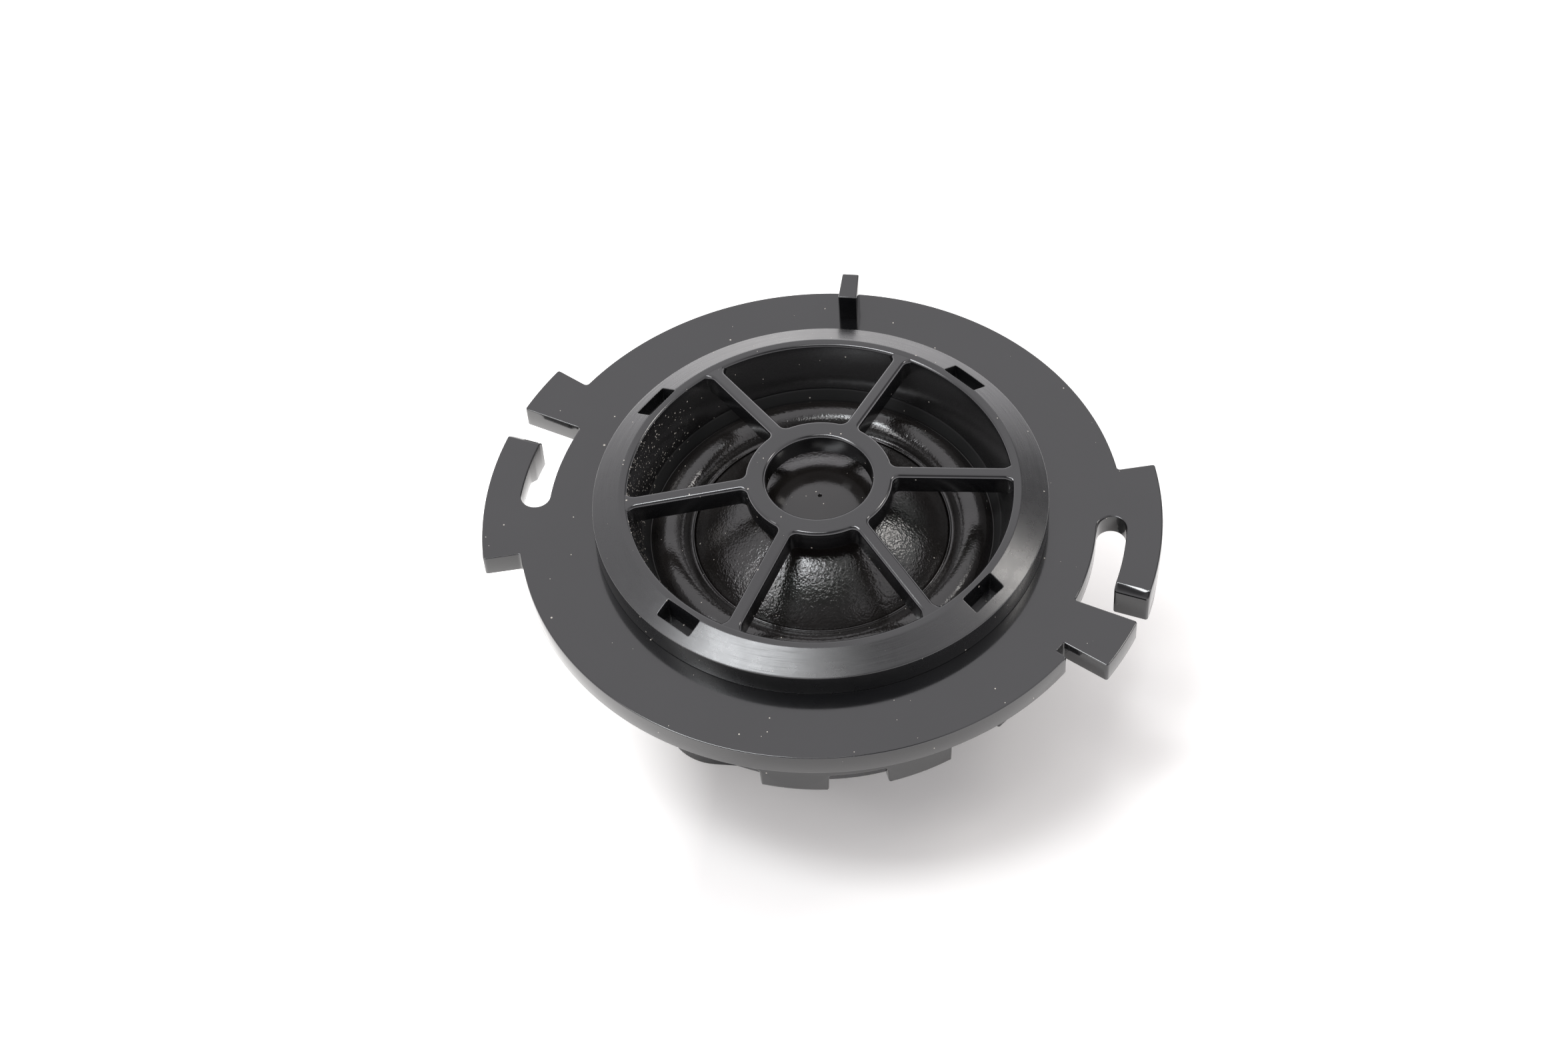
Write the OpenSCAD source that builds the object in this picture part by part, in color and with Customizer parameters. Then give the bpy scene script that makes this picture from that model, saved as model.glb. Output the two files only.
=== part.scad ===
// Car tweeter: twist-lock mounting flange, snap-in six-spoke grille, soft-dome driver with a
// neodymium motor, and a rear cover with a two-way plug socket. Millimetres, +Z out through the
// grille, Z = 0 on the rear rest face, key rib on +Y, acoustic axis on X = Y = 0.

/* [Overall] */
// Distance from the rear rest face to the flange's front face
rear_depth = 20; // [20:0.5:24]
// Facets on round parts as drawn on screen
round_fn = 96; // [48:12:144]

/* [Flange] */
// Outside diameter of the flange disc
flange_d = 50; // [49:0.5:54]
// Thickness of the flange disc
flange_t = 2; // [1.6:0.1:2.2]
// Diameter across the twist-lock tabs
tab_d = 56.3; // [55:0.1:60]
// Width of the curved slot beside each latch arm
slot_w = 2.45; // [1.8:0.05:2.8]
// Angle of the slot's closed end, from +X
slot_end_a = 0.3; // [-2:0.1:2]
// Angle at which each latch arm bends
arm_hinge_a = 2.8; // [2:0.1:4]
// Angle where the latch arm's wide root ends
arm_root_a = 15; // [12:0.5:18]
// Angle of the latch arm's tip
arm_tip_a = -14; // [-15:0.5:-12]
// Near edge of the fixed tab
tab_a0 = -19.5; // [-21:0.5:-18]
// Far edge of the fixed tab
tab_a1 = -30; // [-34:0.5:-28]
// Height of the detent nub under the arm's tip
nub_h = 1.2; // [0.6:0.1:1.6]
// Width of the key rib
rib_w = 1.6; // [1.2:0.1:2.4]
// Height of the key rib above the flange
rib_h = 2.7; // [1.5:0.1:4]
// Radius of the key rib's inner end
rib_r0 = 21.9; // [20.5:0.1:23]
// Radius of the key rib's outer end
rib_r1 = 24.75; // [23.5:0.05:24.9]

/* [Rear skirt] */
// Outside diameter of the skirt behind the flange
skirt_d = 40.5; // [40.4:0.1:42]
// Wall of the skirt
skirt_wall = 1.25; // [1.1:0.05:1.25]
// Depth of the skirt's edge below the flange's front face
skirt_depth = 9.25; // [8.5:0.25:9.5]
// Depth of the retaining lugs' ends below the flange's front face
lug_depth = 11.25; // [11:0.25:11.5]
// Width of each retaining lug, as an angle
lug_a = 16.4; // [10:0.2:18]
// Angle of the first lug
lug_a0 = -1; // [-4:0.5:4]
// Number of lug places round the skirt
lug_n = 12; // [10:2:12]

/* [Grille] */
// Outside diameter of the grille's collar
collar_d = 37.6; // [36.8:0.1:38]
// Height of the collar's outer edge
collar_h = 2.05; // [1.8:0.05:2.3]
// Height of the ring round the opening
ring_h = 3.1; // [2.9:0.05:3.4]
// Diameter where the bevel meets the ring
ring_d = 33; // [32.8:0.1:33.4]
// Diameter of the grille's opening at its front edge
opening_d = 31.7; // [31:0.1:32.2]
// Diameter of the horn at its rear edge
throat_d = 29.8; // [29:0.1:30.2]
// Depth of the horn below the flange's front face
horn_depth = 1.3; // [1.1:0.05:1.35]
// Height of the hub ring
hub_h = 4.45; // [4.2:0.05:4.8]
// Inside diameter of the hub ring
hub_id = 8.75; // [7.5:0.25:10]
// Outside diameter of the hub ring
hub_od = 12.2; // [11.4:0.2:13]
// Width of each spoke
spoke_w = 1.2; // [1:0.05:1.6]
// Depth of the spokes and the hub
spoke_t = 2.0; // [1.4:0.1:2.1]
// Number of spokes
spoke_n = 6; // [5:1:8]
// Angle of the first spoke
spoke_a0 = 10.3; // [8:0.1:12]
// Width of the windows over the snap hooks
window_w = 3.45; // [3:0.05:4]
// Length of the windows over the snap hooks, along the radius
window_l = 1.45; // [1.2:0.05:1.5]

/* [Driver] */
// Diameter of the dome
dome_d = 21.2; // [21.1:0.05:21.3]
// Height of the dome
dome_h = 4.5; // [3.8:0.1:4.6]
// Thickness of the dome
dome_t = 0.3; // [0.2:0.05:0.4]
// Depth of the dome's rim below the flange's front face
rim_depth = 2.44; // [2.4:0.02:2.5]
// Outer diameter of the surround's roll
roll_d = 27.5; // [27.1:0.1:27.6]
// Thickness of the surround
roll_t = 0.3; // [0.2:0.05:0.3]
// Outside diameter of the voice coil's winding
coil_d = 21.2; // [21:0.05:21.3]
// Width of the winding along the axis
coil_h = 2.0; // [1.4:0.1:2.2]
// Inside diameter of the coil former
former_id = 20.3; // [20.2:0.05:20.35]
// Diameter of the front pole plate
plate_d = 19.6; // [19.2:0.1:19.8]
// Thickness of the front pole plate
plate_t = 1.7; // [1.4:0.1:1.8]
// Diameter of the magnet
magnet_d = 18.6; // [17.5:0.1:19]
// Thickness of the magnet
magnet_t = 2.9; // [2.5:0.1:3]
// Inside diameter of the yoke cup
yoke_id = 22; // [21.9:0.1:22.2]
// Outside diameter of the yoke cup
yoke_od = 24.8; // [24.6:0.1:24.8]

/* [Rear cover] */
// Left side of the capacitor bay
bay_x0 = -13.1; // [-13.2:0.1:-12.8]
// Right side of the capacitor bay
bay_x1 = 4.6; // [4.4:0.1:5]
// Front side of the capacitor bay
bay_y0 = -12.2; // [-12.4:0.1:-12]
// Width of the plug socket's cavity
socket_w = 10.6; // [10:0.1:11]
// Height of the plug socket's cavity
socket_h = 4.6; // [4.4:0.1:4.6]
// Wall of the capacitor bay and the plug socket
box_wall = 1.2; // [1:0.05:1.2]
// Position of the plug socket's mouth along Y
mouth_y = 7.5; // [7:0.1:9]
// Corner radius of the capacitor bay
bay_r = 4.5; // [3:0.1:4.5]

/* [Electrical] */
// Distance between the two contact blades
blade_pitch = 5; // [4.6:0.1:5.2]
// Width of the wide contact blade
blade_w_pos = 2.8; // [2.4:0.1:2.9]
// Width of the narrow contact blade
blade_w_neg = 2.2; // [1.5:0.1:2.4]
// Thickness of the contact blades
blade_t = 0.64; // [0.5:0.02:0.8]
// Diameter of the series capacitor
cap_d = 5.2; // [4.6:0.1:5.2]
// Length of the series capacitor
cap_l = 9.5; // [8:0.5:9.5]

/* [Hidden] */
$fn = round_fn;
e = 0.01;                        // overshoot of cutting tools
R = flange_d / 2;
Rt = tab_d / 2;
arm_r0 = R + 0.2;                // inner radius of the latch arms
slot_r0 = arm_r0 - slot_w;
slot_rm = (arm_r0 + slot_r0) / 2;
skirt_r = skirt_d / 2;
skirt_ri = skirt_r - skirt_wall;
collar_r = collar_d / 2;
lip_r = 17.65;                   // opening in the flange
ring_r = ring_d / 2;
open_r = opening_d / 2;
throat_r = throat_d / 2;
wall_r = 16.2;                   // outside of the horn wall
hook_a = [50.5, 150, 235, 326];  // the four snap hooks
clamp_z1 = -horn_depth - 0.05;
foot_z1 = -2.35;                 // top of the surround's foot
land_z = -2.6;                   // chassis face under the surround's foot
base_z1 = -3.2;
base_z0 = -4.6;
top_z = -4.3;                    // front face of the motor
mag_z1 = top_z - plate_t;
mag_z0 = mag_z1 - magnet_t;
yoke_z0 = mag_z0 - 1.8;
yoke_r = yoke_od / 2;
cover_r = skirt_ri - 0.05;
cover_rl = 18.3;                 // cover below its shoulder
cover_ri = 17.2;
shoulder_z = -10.2;
floor_z1 = -11.9;
floor_z0 = -13;
base = -rear_depth;
wall_y = -3.6;                   // partition between the bay and the socket
wall_y1 = wall_y + box_wall;
sock_x = -4.25;                  // centre of the plug socket
sock_z0 = base + box_wall;
sock_z1 = sock_z0 + socket_h;
blade_z = (sock_z0 + sock_z1) / 2;
tab_as = [-95, -108];            // solder tabs
tab_r = 16.7;
board_y0 = -4.55;
board_y1 = -3.65;
cap_y = -8.0;
cap_z = base + 4.1;
cap_x0 = -9.9;
dome_r = dome_d / 2;
dome_R = (dome_r * dome_r + dome_h * dome_h) / (2 * dome_h);
former_ri = former_id / 2;
former_ro = former_ri + 0.15;

black = [0.07, 0.07, 0.08];

// Everything is drawn from the flange's front face and lifted to stand on Z = 0
module lift() { translate([0, 0, rear_depth]) children(); }

module tube(r0, r1, z0, z1) {
    translate([0, 0, z0]) difference() {
        cylinder(r = r1, h = z1 - z0);
        translate([0, 0, -e]) cylinder(r = r0, h = z1 - z0 + 2 * e);
    }
}

module sector(r0, r1, a0, a1, z0, z1) {
    rotate([0, 0, a0]) rotate_extrude(angle = a1 - a0)
        translate([r0, z0]) square([r1 - r0, z1 - z0]);
}

module block(x0, x1, y0, y1, z0, z1) {
    translate([x0, y0, z0]) cube([x1 - x0, y1 - y0, z1 - z0]);
}

// Box with rounded vertical corners
module rblock(x0, x1, y0, y1, z0, z1, r) {
    translate([0, 0, z0]) linear_extrude(z1 - z0) {
        translate([x0 + r, y0]) square([x1 - x0 - 2 * r, y1 - y0]);
        translate([x0, y0 + r]) square([x1 - x0, y1 - y0 - 2 * r]);
        for (x = [x0 + r, x1 - r], y = [y0 + r, y1 - r]) translate([x, y]) circle(r = r);
    }
}

// Round rod between two points
module rod(p, q, r) {
    v = q - p;
    l = norm(v);
    translate(p) rotate([0, acos(v[2] / l), atan2(v[1], v[0])]) cylinder(r = r, h = l, $fn = 24);
}

// ---- twist-lock flange -------------------------------------------------------------------
module flange_side(spare) {
    sector(R - 1, Rt, tab_a1 - spare, tab_a0 + 1, -flange_t, 0);
    sector(R - 1, Rt, arm_hinge_a, arm_root_a, -flange_t, 0);
}

module slot_cut() {
    sector(slot_r0, Rt + 1, tab_a0, arm_tip_a, -flange_t - 1, 1);
    sector(slot_r0, arm_r0, arm_tip_a - 1, slot_end_a, -flange_t - 1, 1);
    rotate([0, 0, slot_end_a]) translate([slot_rm, 0, -flange_t - 1])
        cylinder(r = slot_w / 2 - 0.02, h = flange_t + 2);
}

module mounting_flange() {
    color(black) lift() {
        difference() {
            union() {
                tube(lip_r, R, -flange_t, 0);
                for (s = [0, 180]) rotate([0, 0, s]) flange_side(s == 0 ? 1.5 : 0);
            }
            for (s = [0, 180]) rotate([0, 0, s]) slot_cut();
            // small relief at the root of the fixed tab on the right
            sector(R - 1, Rt + 1, tab_a1 - 2.4, tab_a1, -flange_t - 1, 1);
        }
        // rear skirt with a chamfered edge
        translate([0, 0, 0]) rotate_extrude() polygon([
            [skirt_ri, -flange_t + e], [skirt_r, -flange_t + e], [skirt_r, -skirt_depth + 0.35],
            [skirt_r - 0.25, -skirt_depth], [skirt_ri, -skirt_depth]]);
        // retaining lugs with inward barbs; the place over the capacitor bay stays empty
        for (k = [0 : lug_n - 1]) if (k != 8) rotate([0, 0, lug_a0 + k * 360 / lug_n - lug_a / 2])
            rotate_extrude(angle = lug_a) polygon([
                [skirt_ri + 0.04, -skirt_depth + 1], [skirt_r - 0.04, -skirt_depth + 1],
                [skirt_r - 0.04, -lug_depth + 0.3], [skirt_r - 0.34, -lug_depth],
                [skirt_ri - 0.1, -lug_depth], [skirt_ri - 0.6, shoulder_z - 0.5],
                [skirt_ri - 0.6, shoulder_z - 0.05], [skirt_ri + 0.04, shoulder_z - 0.05]]);
        // key rib
        block(-rib_w / 2, rib_w / 2, rib_r0, rib_r1, -e, rib_h);
    }
}

// One latch arm, drawn on the +X side
module latch_arm() {
    difference() {
        sector(arm_r0, Rt, arm_tip_a, arm_hinge_a, -flange_t, 0);
        // small lead on the tip's front edge
        rotate([0, 0, arm_tip_a]) translate([(arm_r0 + Rt) / 2, 0, 0]) rotate([45, 0, 0])
            cube([Rt - arm_r0 + 2, 0.85, 0.85], center = true);
    }
    // detent nub under the tip, steep at the tip and sloped behind
    intersection() {
        sector(arm_r0, Rt, arm_tip_a, arm_hinge_a, -flange_t - nub_h - 1, -flange_t + 0.5);
        rotate([0, 0, arm_tip_a]) translate([arm_r0 - 1, 0, 0]) rotate([90, 0, 90])
            linear_extrude(Rt - arm_r0 + 2) polygon([[-1, -flange_t + 0.4], [-1, -flange_t - nub_h],
                [2.0, -flange_t - nub_h], [3.4, -flange_t], [3.4, -flange_t + 0.4]]);
    }
}
module latch_arm_right() { color(black) lift() latch_arm(); }
module latch_arm_left() { color(black) lift() rotate([0, 0, 180]) latch_arm(); }

// ---- grille ------------------------------------------------------------------------------
module grille_shell() {
    rotate_extrude() polygon([
        [collar_r, 0], [collar_r, collar_h], [ring_r, ring_h], [open_r, ring_h],
        [throat_r, -horn_depth], [wall_r, -horn_depth], [wall_r, 1.9], [17.7, 1.2], [17.7, 0]]);
}

module spoke() {
    rotate([90, 0, 0]) translate([0, 0, -spoke_w / 2]) linear_extrude(spoke_w) polygon([
        [hub_od / 2 - 0.8, hub_h - 0.02], [open_r + 0.2, ring_h - 0.05], [open_r + 0.2, ring_h - spoke_t],
        [open_r - 0.3, ring_h - spoke_t], [hub_od / 2 - 0.8, hub_h - spoke_t]]);
}

module snap_hook() {
    rotate([90, 0, 0]) translate([0, 0, -1.6]) linear_extrude(3.2) polygon([
        [wall_r - 0.2, 1.0], [17.35, 1.0], [17.35, -2.05], [18.2, -2.05], [17.7, -2.75],
        [wall_r + 0.15, -2.75], [wall_r + 0.15, -1.2], [wall_r - 0.2, -1.2]]);
}

module grille() {
    color(black) lift() difference() {
        union() {
            grille_shell();
            tube(hub_id / 2, hub_od / 2, hub_h - spoke_t, hub_h);
            for (k = [0 : spoke_n - 1]) rotate([0, 0, spoke_a0 + k * 360 / spoke_n]) spoke();
            for (a = hook_a) rotate([0, 0, a]) snap_hook();
        }
        for (a = hook_a) rotate([0, 0, a])
            block(17.85 - window_l, 17.85, -window_w / 2, window_w / 2, 1.01, ring_h + 1);
    }
}

// ---- diaphragm ---------------------------------------------------------------------------
module diaphragm_clamp_ring() {
    color([0.12, 0.12, 0.13]) lift() difference() {
        tube(14.3, 16.3, foot_z1, clamp_z1);
        for (a = hook_a) rotate([0, 0, a]) block(wall_r, 18, -2, 2, -3, 0);
    }
}

// Half-roll surround: circular arc between the dome's rim and the outer foot
roll_r0 = dome_r + 0.15;
roll_r1 = roll_d / 2;
roll_m = (roll_r0 + roll_r1) / 2;
roll_w = (roll_r1 - roll_r0) / 2;
roll_h = 1.15;
roll_R = (roll_w * roll_w + roll_h * roll_h) / (2 * roll_h);
roll_s = asin(roll_w / roll_R);
function arc(r, a0, a1, n, cx, cz) = [for (i = [0 : n]) let (a = a0 + (a1 - a0) * i / n)
    [cx + r * sin(a), cz + r * cos(a)]];

module surround() {
    cz = foot_z1 + roll_h - roll_R;
    color([0.05, 0.05, 0.05]) lift() rotate_extrude() polygon(concat(
        arc(roll_R, -roll_s, roll_s, 16, roll_m, cz),
        [[16.3, foot_z1], [16.3, land_z], [roll_r1 + 0.1, land_z]],
        arc(roll_R - roll_t, roll_s, -roll_s, 16, roll_m, cz - 0.02)));
}

module dome() {
    cz = dome_h - rim_depth - dome_R;
    a1 = asin(dome_r / dome_R);
    a2 = asin((dome_r - 0.25) / (dome_R - dome_t));
    color([0.05, 0.05, 0.05]) lift() rotate_extrude() polygon(concat(
        arc(dome_R, 0, a1, 24, 0, cz),
        [[dome_r, -3.0], [former_ro + 0.03, -3.0], [former_ro + 0.03, -2.62]],
        [[dome_r - 0.6, -2.6]],
        arc(dome_R - dome_t, a2 - 2, 0, 22, 0, cz)));
}

module coil_former() {
    color([0.72, 0.5, 0.26]) lift() tube(former_ri, former_ro, -6.6, -2.63);
}

module voice_coil() {
    color([0.72, 0.35, 0.16]) lift() tube(former_ro, coil_d / 2, top_z - coil_h, top_z);
}

module lead_out(a) {
    lift() rotate([0, 0, a]) translate([0, 0, -3.55]) rotate([0, 90, 0])
        translate([0, 0, former_ro + 0.12]) cylinder(r = 0.13, h = tab_r - 0.18 - former_ro - 0.12, $fn = 24);
}
module lead_out_positive() { color([0.75, 0.4, 0.2]) lead_out(tab_as[0]); }
module lead_out_negative() { color([0.75, 0.4, 0.2]) lead_out(tab_as[1]); }

module damping_pad() {
    color([0.55, 0.55, 0.5]) lift() translate([0, 0, top_z]) cylinder(r = 7.5, h = 1.6);
}

// ---- motor -------------------------------------------------------------------------------
module top_plate() {
    color([0.6, 0.6, 0.62]) lift() translate([0, 0, mag_z1]) cylinder(r = plate_d / 2, h = plate_t);
}

module magnet() {
    color([0.68, 0.68, 0.7]) lift() translate([0, 0, mag_z0]) cylinder(r = magnet_d / 2, h = magnet_t);
}

module yoke_cup() {
    color([0.5, 0.5, 0.52]) lift() rotate_extrude() polygon([
        [0, yoke_z0], [yoke_r - 0.5, yoke_z0], [yoke_r, yoke_z0 + 0.5], [yoke_r, top_z],
        [yoke_id / 2, top_z], [yoke_id / 2, mag_z0], [0, mag_z0]]);
}

module driver_chassis() {
    color([0.1, 0.1, 0.11]) lift() difference() {
        rotate_extrude() polygon([
            [yoke_r, -8], [13.6, -8], [13.6, base_z0], [cover_r - 0.05, base_z0],
            [cover_r - 0.05, -flange_t - 0.05], [18.35, -flange_t - 0.05], [18.35, base_z1],
            [16.3, base_z1], [16.3, land_z], [roll_r1 - 0.1, land_z], [yoke_r + 0.4, -3.6],
            [yoke_r + 0.4, -3.9], [yoke_r, -3.9]]);
        // lead-out grooves and the slots that hold the solder tabs
        for (a = tab_as) rotate([0, 0, a]) {
            block(12, tab_r, -0.5, 0.5, -3.8, 0);
            block(tab_r - 0.2, tab_r + 0.2, -0.85, 0.85, -9, 0);
        }
        // relief under the four snap hooks
        for (a = hook_a) rotate([0, 0, a]) block(16.25, 18.36, -2, 2, -3, 0);
    }
}

// ---- wiring ------------------------------------------------------------------------------
module solder_tab(a) {
    lift() rotate([0, 0, a]) block(tab_r - 0.18, tab_r + 0.17, -0.8, 0.8, -7.2, -2.75);
}
module solder_tab_positive() { color([0.8, 0.7, 0.4]) solder_tab(tab_as[0]); }
module solder_tab_negative() { color([0.8, 0.7, 0.4]) solder_tab(tab_as[1]); }

wire_r = 0.45;
function tab_pos(a) = [(tab_r - 0.68) * cos(a), (tab_r - 0.68) * sin(a)];
module hookup_wire(a) {
    p = tab_pos(a);
    zc = -11.32;
    lift() {
        rod([p[0], p[1], zc + 1], [p[0], p[1], -5.4], wire_r);
        translate([p[0], p[1] + 1, zc + 1]) rotate([90, 0, 0]) rotate([0, 90, 0])
            rotate([0, 0, -90]) rotate_extrude(angle = -90) translate([1, 0]) circle(r = wire_r, $fn = 24);
        rod([p[0], p[1] + 1, zc], [p[0], board_y0 - 0.48 - 1, zc], wire_r);
        translate([p[0], board_y0 - 1.48, zc - 1]) rotate([90, 0, 90])
            rotate_extrude(angle = 90) translate([1, 0]) circle(r = wire_r, $fn = 24);
        rod([p[0], board_y0 - 0.48, zc - 1], [p[0], board_y0 - 0.48, zc - 2.4], wire_r);
    }
}
module hookup_wire_positive() { color([0.7, 0.08, 0.06]) hookup_wire(tab_as[0]); }
module hookup_wire_negative() { color([0.1, 0.1, 0.1]) hookup_wire(tab_as[1]); }

module rear_foam_pad() {
    color([0.3, 0.3, 0.31]) lift() intersection() {
        translate([0, 0, floor_z1]) cylinder(r = 9.5, h = yoke_z0 - floor_z1);
        block(-10, 10, -2.8, 10, floor_z1 - 1, 0);
    }
}

// ---- rear cover --------------------------------------------------------------------------
module rear_cover() {
    sx0 = sock_x - socket_w / 2;
    sx1 = sock_x + socket_w / 2;
    color([0.08, 0.08, 0.09]) lift() difference() {
        union() {
            rotate_extrude() polygon([
                [0, floor_z0], [cover_rl - 0.6, floor_z0], [cover_rl, floor_z0 + 0.6],
                [cover_rl, shoulder_z], [cover_r, shoulder_z], [cover_r, base_z0 - 0.05],
                [cover_ri, base_z0 - 0.05], [cover_ri, floor_z1], [0, floor_z1]]);
            rblock(bay_x0, bay_x1, bay_y0, wall_y1 + bay_r, base, floor_z0 + e, bay_r);
            rblock(sx0 - box_wall, sx1 + box_wall, wall_y, mouth_y, base, floor_z0 + e, 0.6);
        }
        // trim the bay's block behind the partition, beside the socket
        block(bay_x0 - 1, sx0 - box_wall, wall_y1, 10, base - 1, floor_z0);
        block(sx1 + box_wall, bay_x1 + 1, wall_y1, 10, base - 1, floor_z0);
        // capacitor bay, open into the cup
        difference() {
            rblock(bay_x0 + box_wall, bay_x1 - box_wall, bay_y0 + box_wall, wall_y + 5,
                base + box_wall, floor_z1 + 1, bay_r - box_wall);
            block(bay_x0, bay_x1, wall_y, 10, base, 0);
        }
        // plug socket
        block(sx0, sx1, wall_y1, mouth_y + 1, sock_z0, sock_z1);
        // contact slots in the partition
        for (s = [-1, 1]) let (w = (s > 0 ? blade_w_pos : blade_w_neg) / 2 + 0.05)
            block(sock_x + s * blade_pitch / 2 - w, sock_x + s * blade_pitch / 2 + w,
                wall_y - 1, wall_y1 + 1, blade_z - blade_t / 2 - 0.05, blade_z + blade_t / 2 + 0.05);
        // window for the plug's latch
        block(sock_x - 1.6, sock_x + 1.6, mouth_y - 3.4, mouth_y - 1.2, base - 1, sock_z0 + e);
        // plug key groove in the socket's upper wall
        block(sock_x - 0.6, sock_x + 0.6, wall_y1, mouth_y + 1, sock_z1 - e, sock_z1 + 0.6);
    }
}

module terminal_board() {
    color([0.1, 0.32, 0.18]) lift() difference() {
        block(bay_x0 + 1.5, bay_x1 - 1.5, board_y0, board_y1, -rear_depth + 1.4, -12.2);
        for (s = [-1, 1]) let (w = (s > 0 ? blade_w_pos : blade_w_neg) / 2 + 0.05)
            block(sock_x + s * blade_pitch / 2 - w, sock_x + s * blade_pitch / 2 + w,
                -6, -3, blade_z - blade_t / 2 - 0.05, blade_z + blade_t / 2 + 0.05);
        for (l = cap_lead) translate([l[0], -6, l[1]]) rotate([-90, 0, 0]) cylinder(r = 0.36, h = 4, $fn = 24);
    }
}

module blade(x, w) {
    t = blade_t / 2;
    lift() translate([0, 0, blade_z - t]) linear_extrude(2 * t) polygon([
        [x - w / 2, -5.1], [x + w / 2, -5.1], [x + w / 2, 2.4], [x + w / 2 - 0.6, 3.2],
        [x - w / 2 + 0.6, 3.2], [x - w / 2, 2.4]]);
}
module contact_blade_positive() { color([0.78, 0.76, 0.7]) blade(sock_x + blade_pitch / 2, blade_w_pos); }
module contact_blade_negative() { color([0.78, 0.76, 0.7]) blade(sock_x - blade_pitch / 2, blade_w_neg); }

// ---- series capacitor --------------------------------------------------------------------
cap_lead = [[1.0, cap_z + 1], [2.2, cap_z - 1]];  // x and z of each lead at the board
cap_x1 = cap_x0 + cap_l;

module capacitor() {
    r = cap_d / 2;
    color([0.12, 0.16, 0.3]) lift() translate([cap_x0, cap_y, cap_z]) rotate([0, 90, 0])
        rotate_extrude() polygon([[0, 0], [r - 0.3, 0], [r, 0.3], [r, cap_l - 2.2], [r - 0.3, cap_l - 1.8],
            [r - 0.3, cap_l - 1.4], [r, cap_l - 1.0], [r, cap_l - 0.3], [r - 0.3, cap_l], [0, cap_l]]);
}

module capacitor_leads() {
    color([0.8, 0.8, 0.8]) lift() for (l = cap_lead) {
        rod([cap_x1, cap_y, l[1]], [l[0] - 0.8, cap_y, l[1]], 0.28);
        translate([l[0] - 0.8, cap_y + 0.8, l[1]]) rotate([0, 0, -90])
            rotate_extrude(angle = 90) translate([0.8, 0]) circle(r = 0.28, $fn = 24);
        rod([l[0], cap_y + 0.8, l[1]], [l[0], board_y1 - 0.1, l[1]], 0.28);
    }
}

// Solder at the two blades, the two wire ends and the two tabs
module solder_joints() {
    color([0.75, 0.76, 0.78]) lift() {
        for (s = [-1, 1]) difference() {
            translate([sock_x + s * blade_pitch / 2, board_y0, blade_z])
                rotate([90, 0, 0]) cylinder(r1 = 1, r2 = 0.6, h = 0.45, $fn = 32);
            block(-20, 20, -6, -4, blade_z - 2, blade_z + blade_t / 2);
        }
        for (a = tab_as) let (p = tab_pos(a))
            translate([p[0] + 0.75, board_y0, -13.2]) rotate([90, 0, 0])
                cylinder(r1 = 0.28, r2 = 0.15, h = 0.6, $fn = 32);
    }
}

mounting_flange();
latch_arm_right();
latch_arm_left();
grille();
diaphragm_clamp_ring();
surround();
dome();
coil_former();
voice_coil();
lead_out_positive();
lead_out_negative();
damping_pad();
top_plate();
magnet();
yoke_cup();
driver_chassis();
solder_tab_positive();
solder_tab_negative();
hookup_wire_positive();
hookup_wire_negative();
rear_foam_pad();
rear_cover();
terminal_board();
contact_blade_positive();
contact_blade_negative();
capacitor();
capacitor_leads();
solder_joints();
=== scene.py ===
import math

import bpy
import numpy as np
from mathutils import Matrix, Vector
from mathutils.geometry import delaunay_2d_cdt


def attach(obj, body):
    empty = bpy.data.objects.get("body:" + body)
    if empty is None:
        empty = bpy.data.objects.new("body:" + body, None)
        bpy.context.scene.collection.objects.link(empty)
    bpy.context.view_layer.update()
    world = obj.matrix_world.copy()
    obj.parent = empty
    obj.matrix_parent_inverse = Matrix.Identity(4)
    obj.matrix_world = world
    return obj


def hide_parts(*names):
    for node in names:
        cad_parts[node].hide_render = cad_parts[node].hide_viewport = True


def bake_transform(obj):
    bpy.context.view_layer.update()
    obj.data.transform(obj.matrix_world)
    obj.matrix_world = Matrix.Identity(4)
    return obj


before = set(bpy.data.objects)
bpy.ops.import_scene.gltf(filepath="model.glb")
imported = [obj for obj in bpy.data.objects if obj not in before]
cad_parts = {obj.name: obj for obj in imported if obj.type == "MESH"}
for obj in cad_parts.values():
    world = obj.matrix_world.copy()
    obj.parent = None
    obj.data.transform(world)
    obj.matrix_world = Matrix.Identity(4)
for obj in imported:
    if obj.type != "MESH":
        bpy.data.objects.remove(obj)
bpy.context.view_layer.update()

MM = 0.001
Z0 = 20.0  # the flange's front face above the rest face, mm; pieces are drawn from that face


# ------------------------------------------------------------------ 2D outlines
def pol(r, a):
    t = math.radians(a)
    return (r * math.cos(t), r * math.sin(t))


def arc(r, a0, a1, step=1.0, c=(0.0, 0.0)):
    n = max(2, int(math.ceil(abs(a1 - a0) / step)))
    return [
        (
            c[0] + r * math.cos(math.radians(a0 + (a1 - a0) * i / n)),
            c[1] + r * math.sin(math.radians(a0 + (a1 - a0) * i / n)),
        )
        for i in range(n + 1)
    ]


def seg(p, q, step=None):
    n = 1 if step is None else max(1, int(math.ceil(math.dist(p, q) / step)))
    return [
        (p[0] + (q[0] - p[0]) * i / n, p[1] + (q[1] - p[1]) * i / n)
        for i in range(n + 1)
    ]


def unit(v):
    return v / np.linalg.norm(v)


def trim(s, t):
    """The polyline s without the first t of its length."""
    s = np.array(s, float)
    while t > 1e-9 and len(s) > 1:
        d = np.linalg.norm(s[1] - s[0])
        if d > t:
            s[0] = s[0] + (s[1] - s[0]) * (t / d)
            break
        t -= d
        s = s[1:]
    return s


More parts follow.
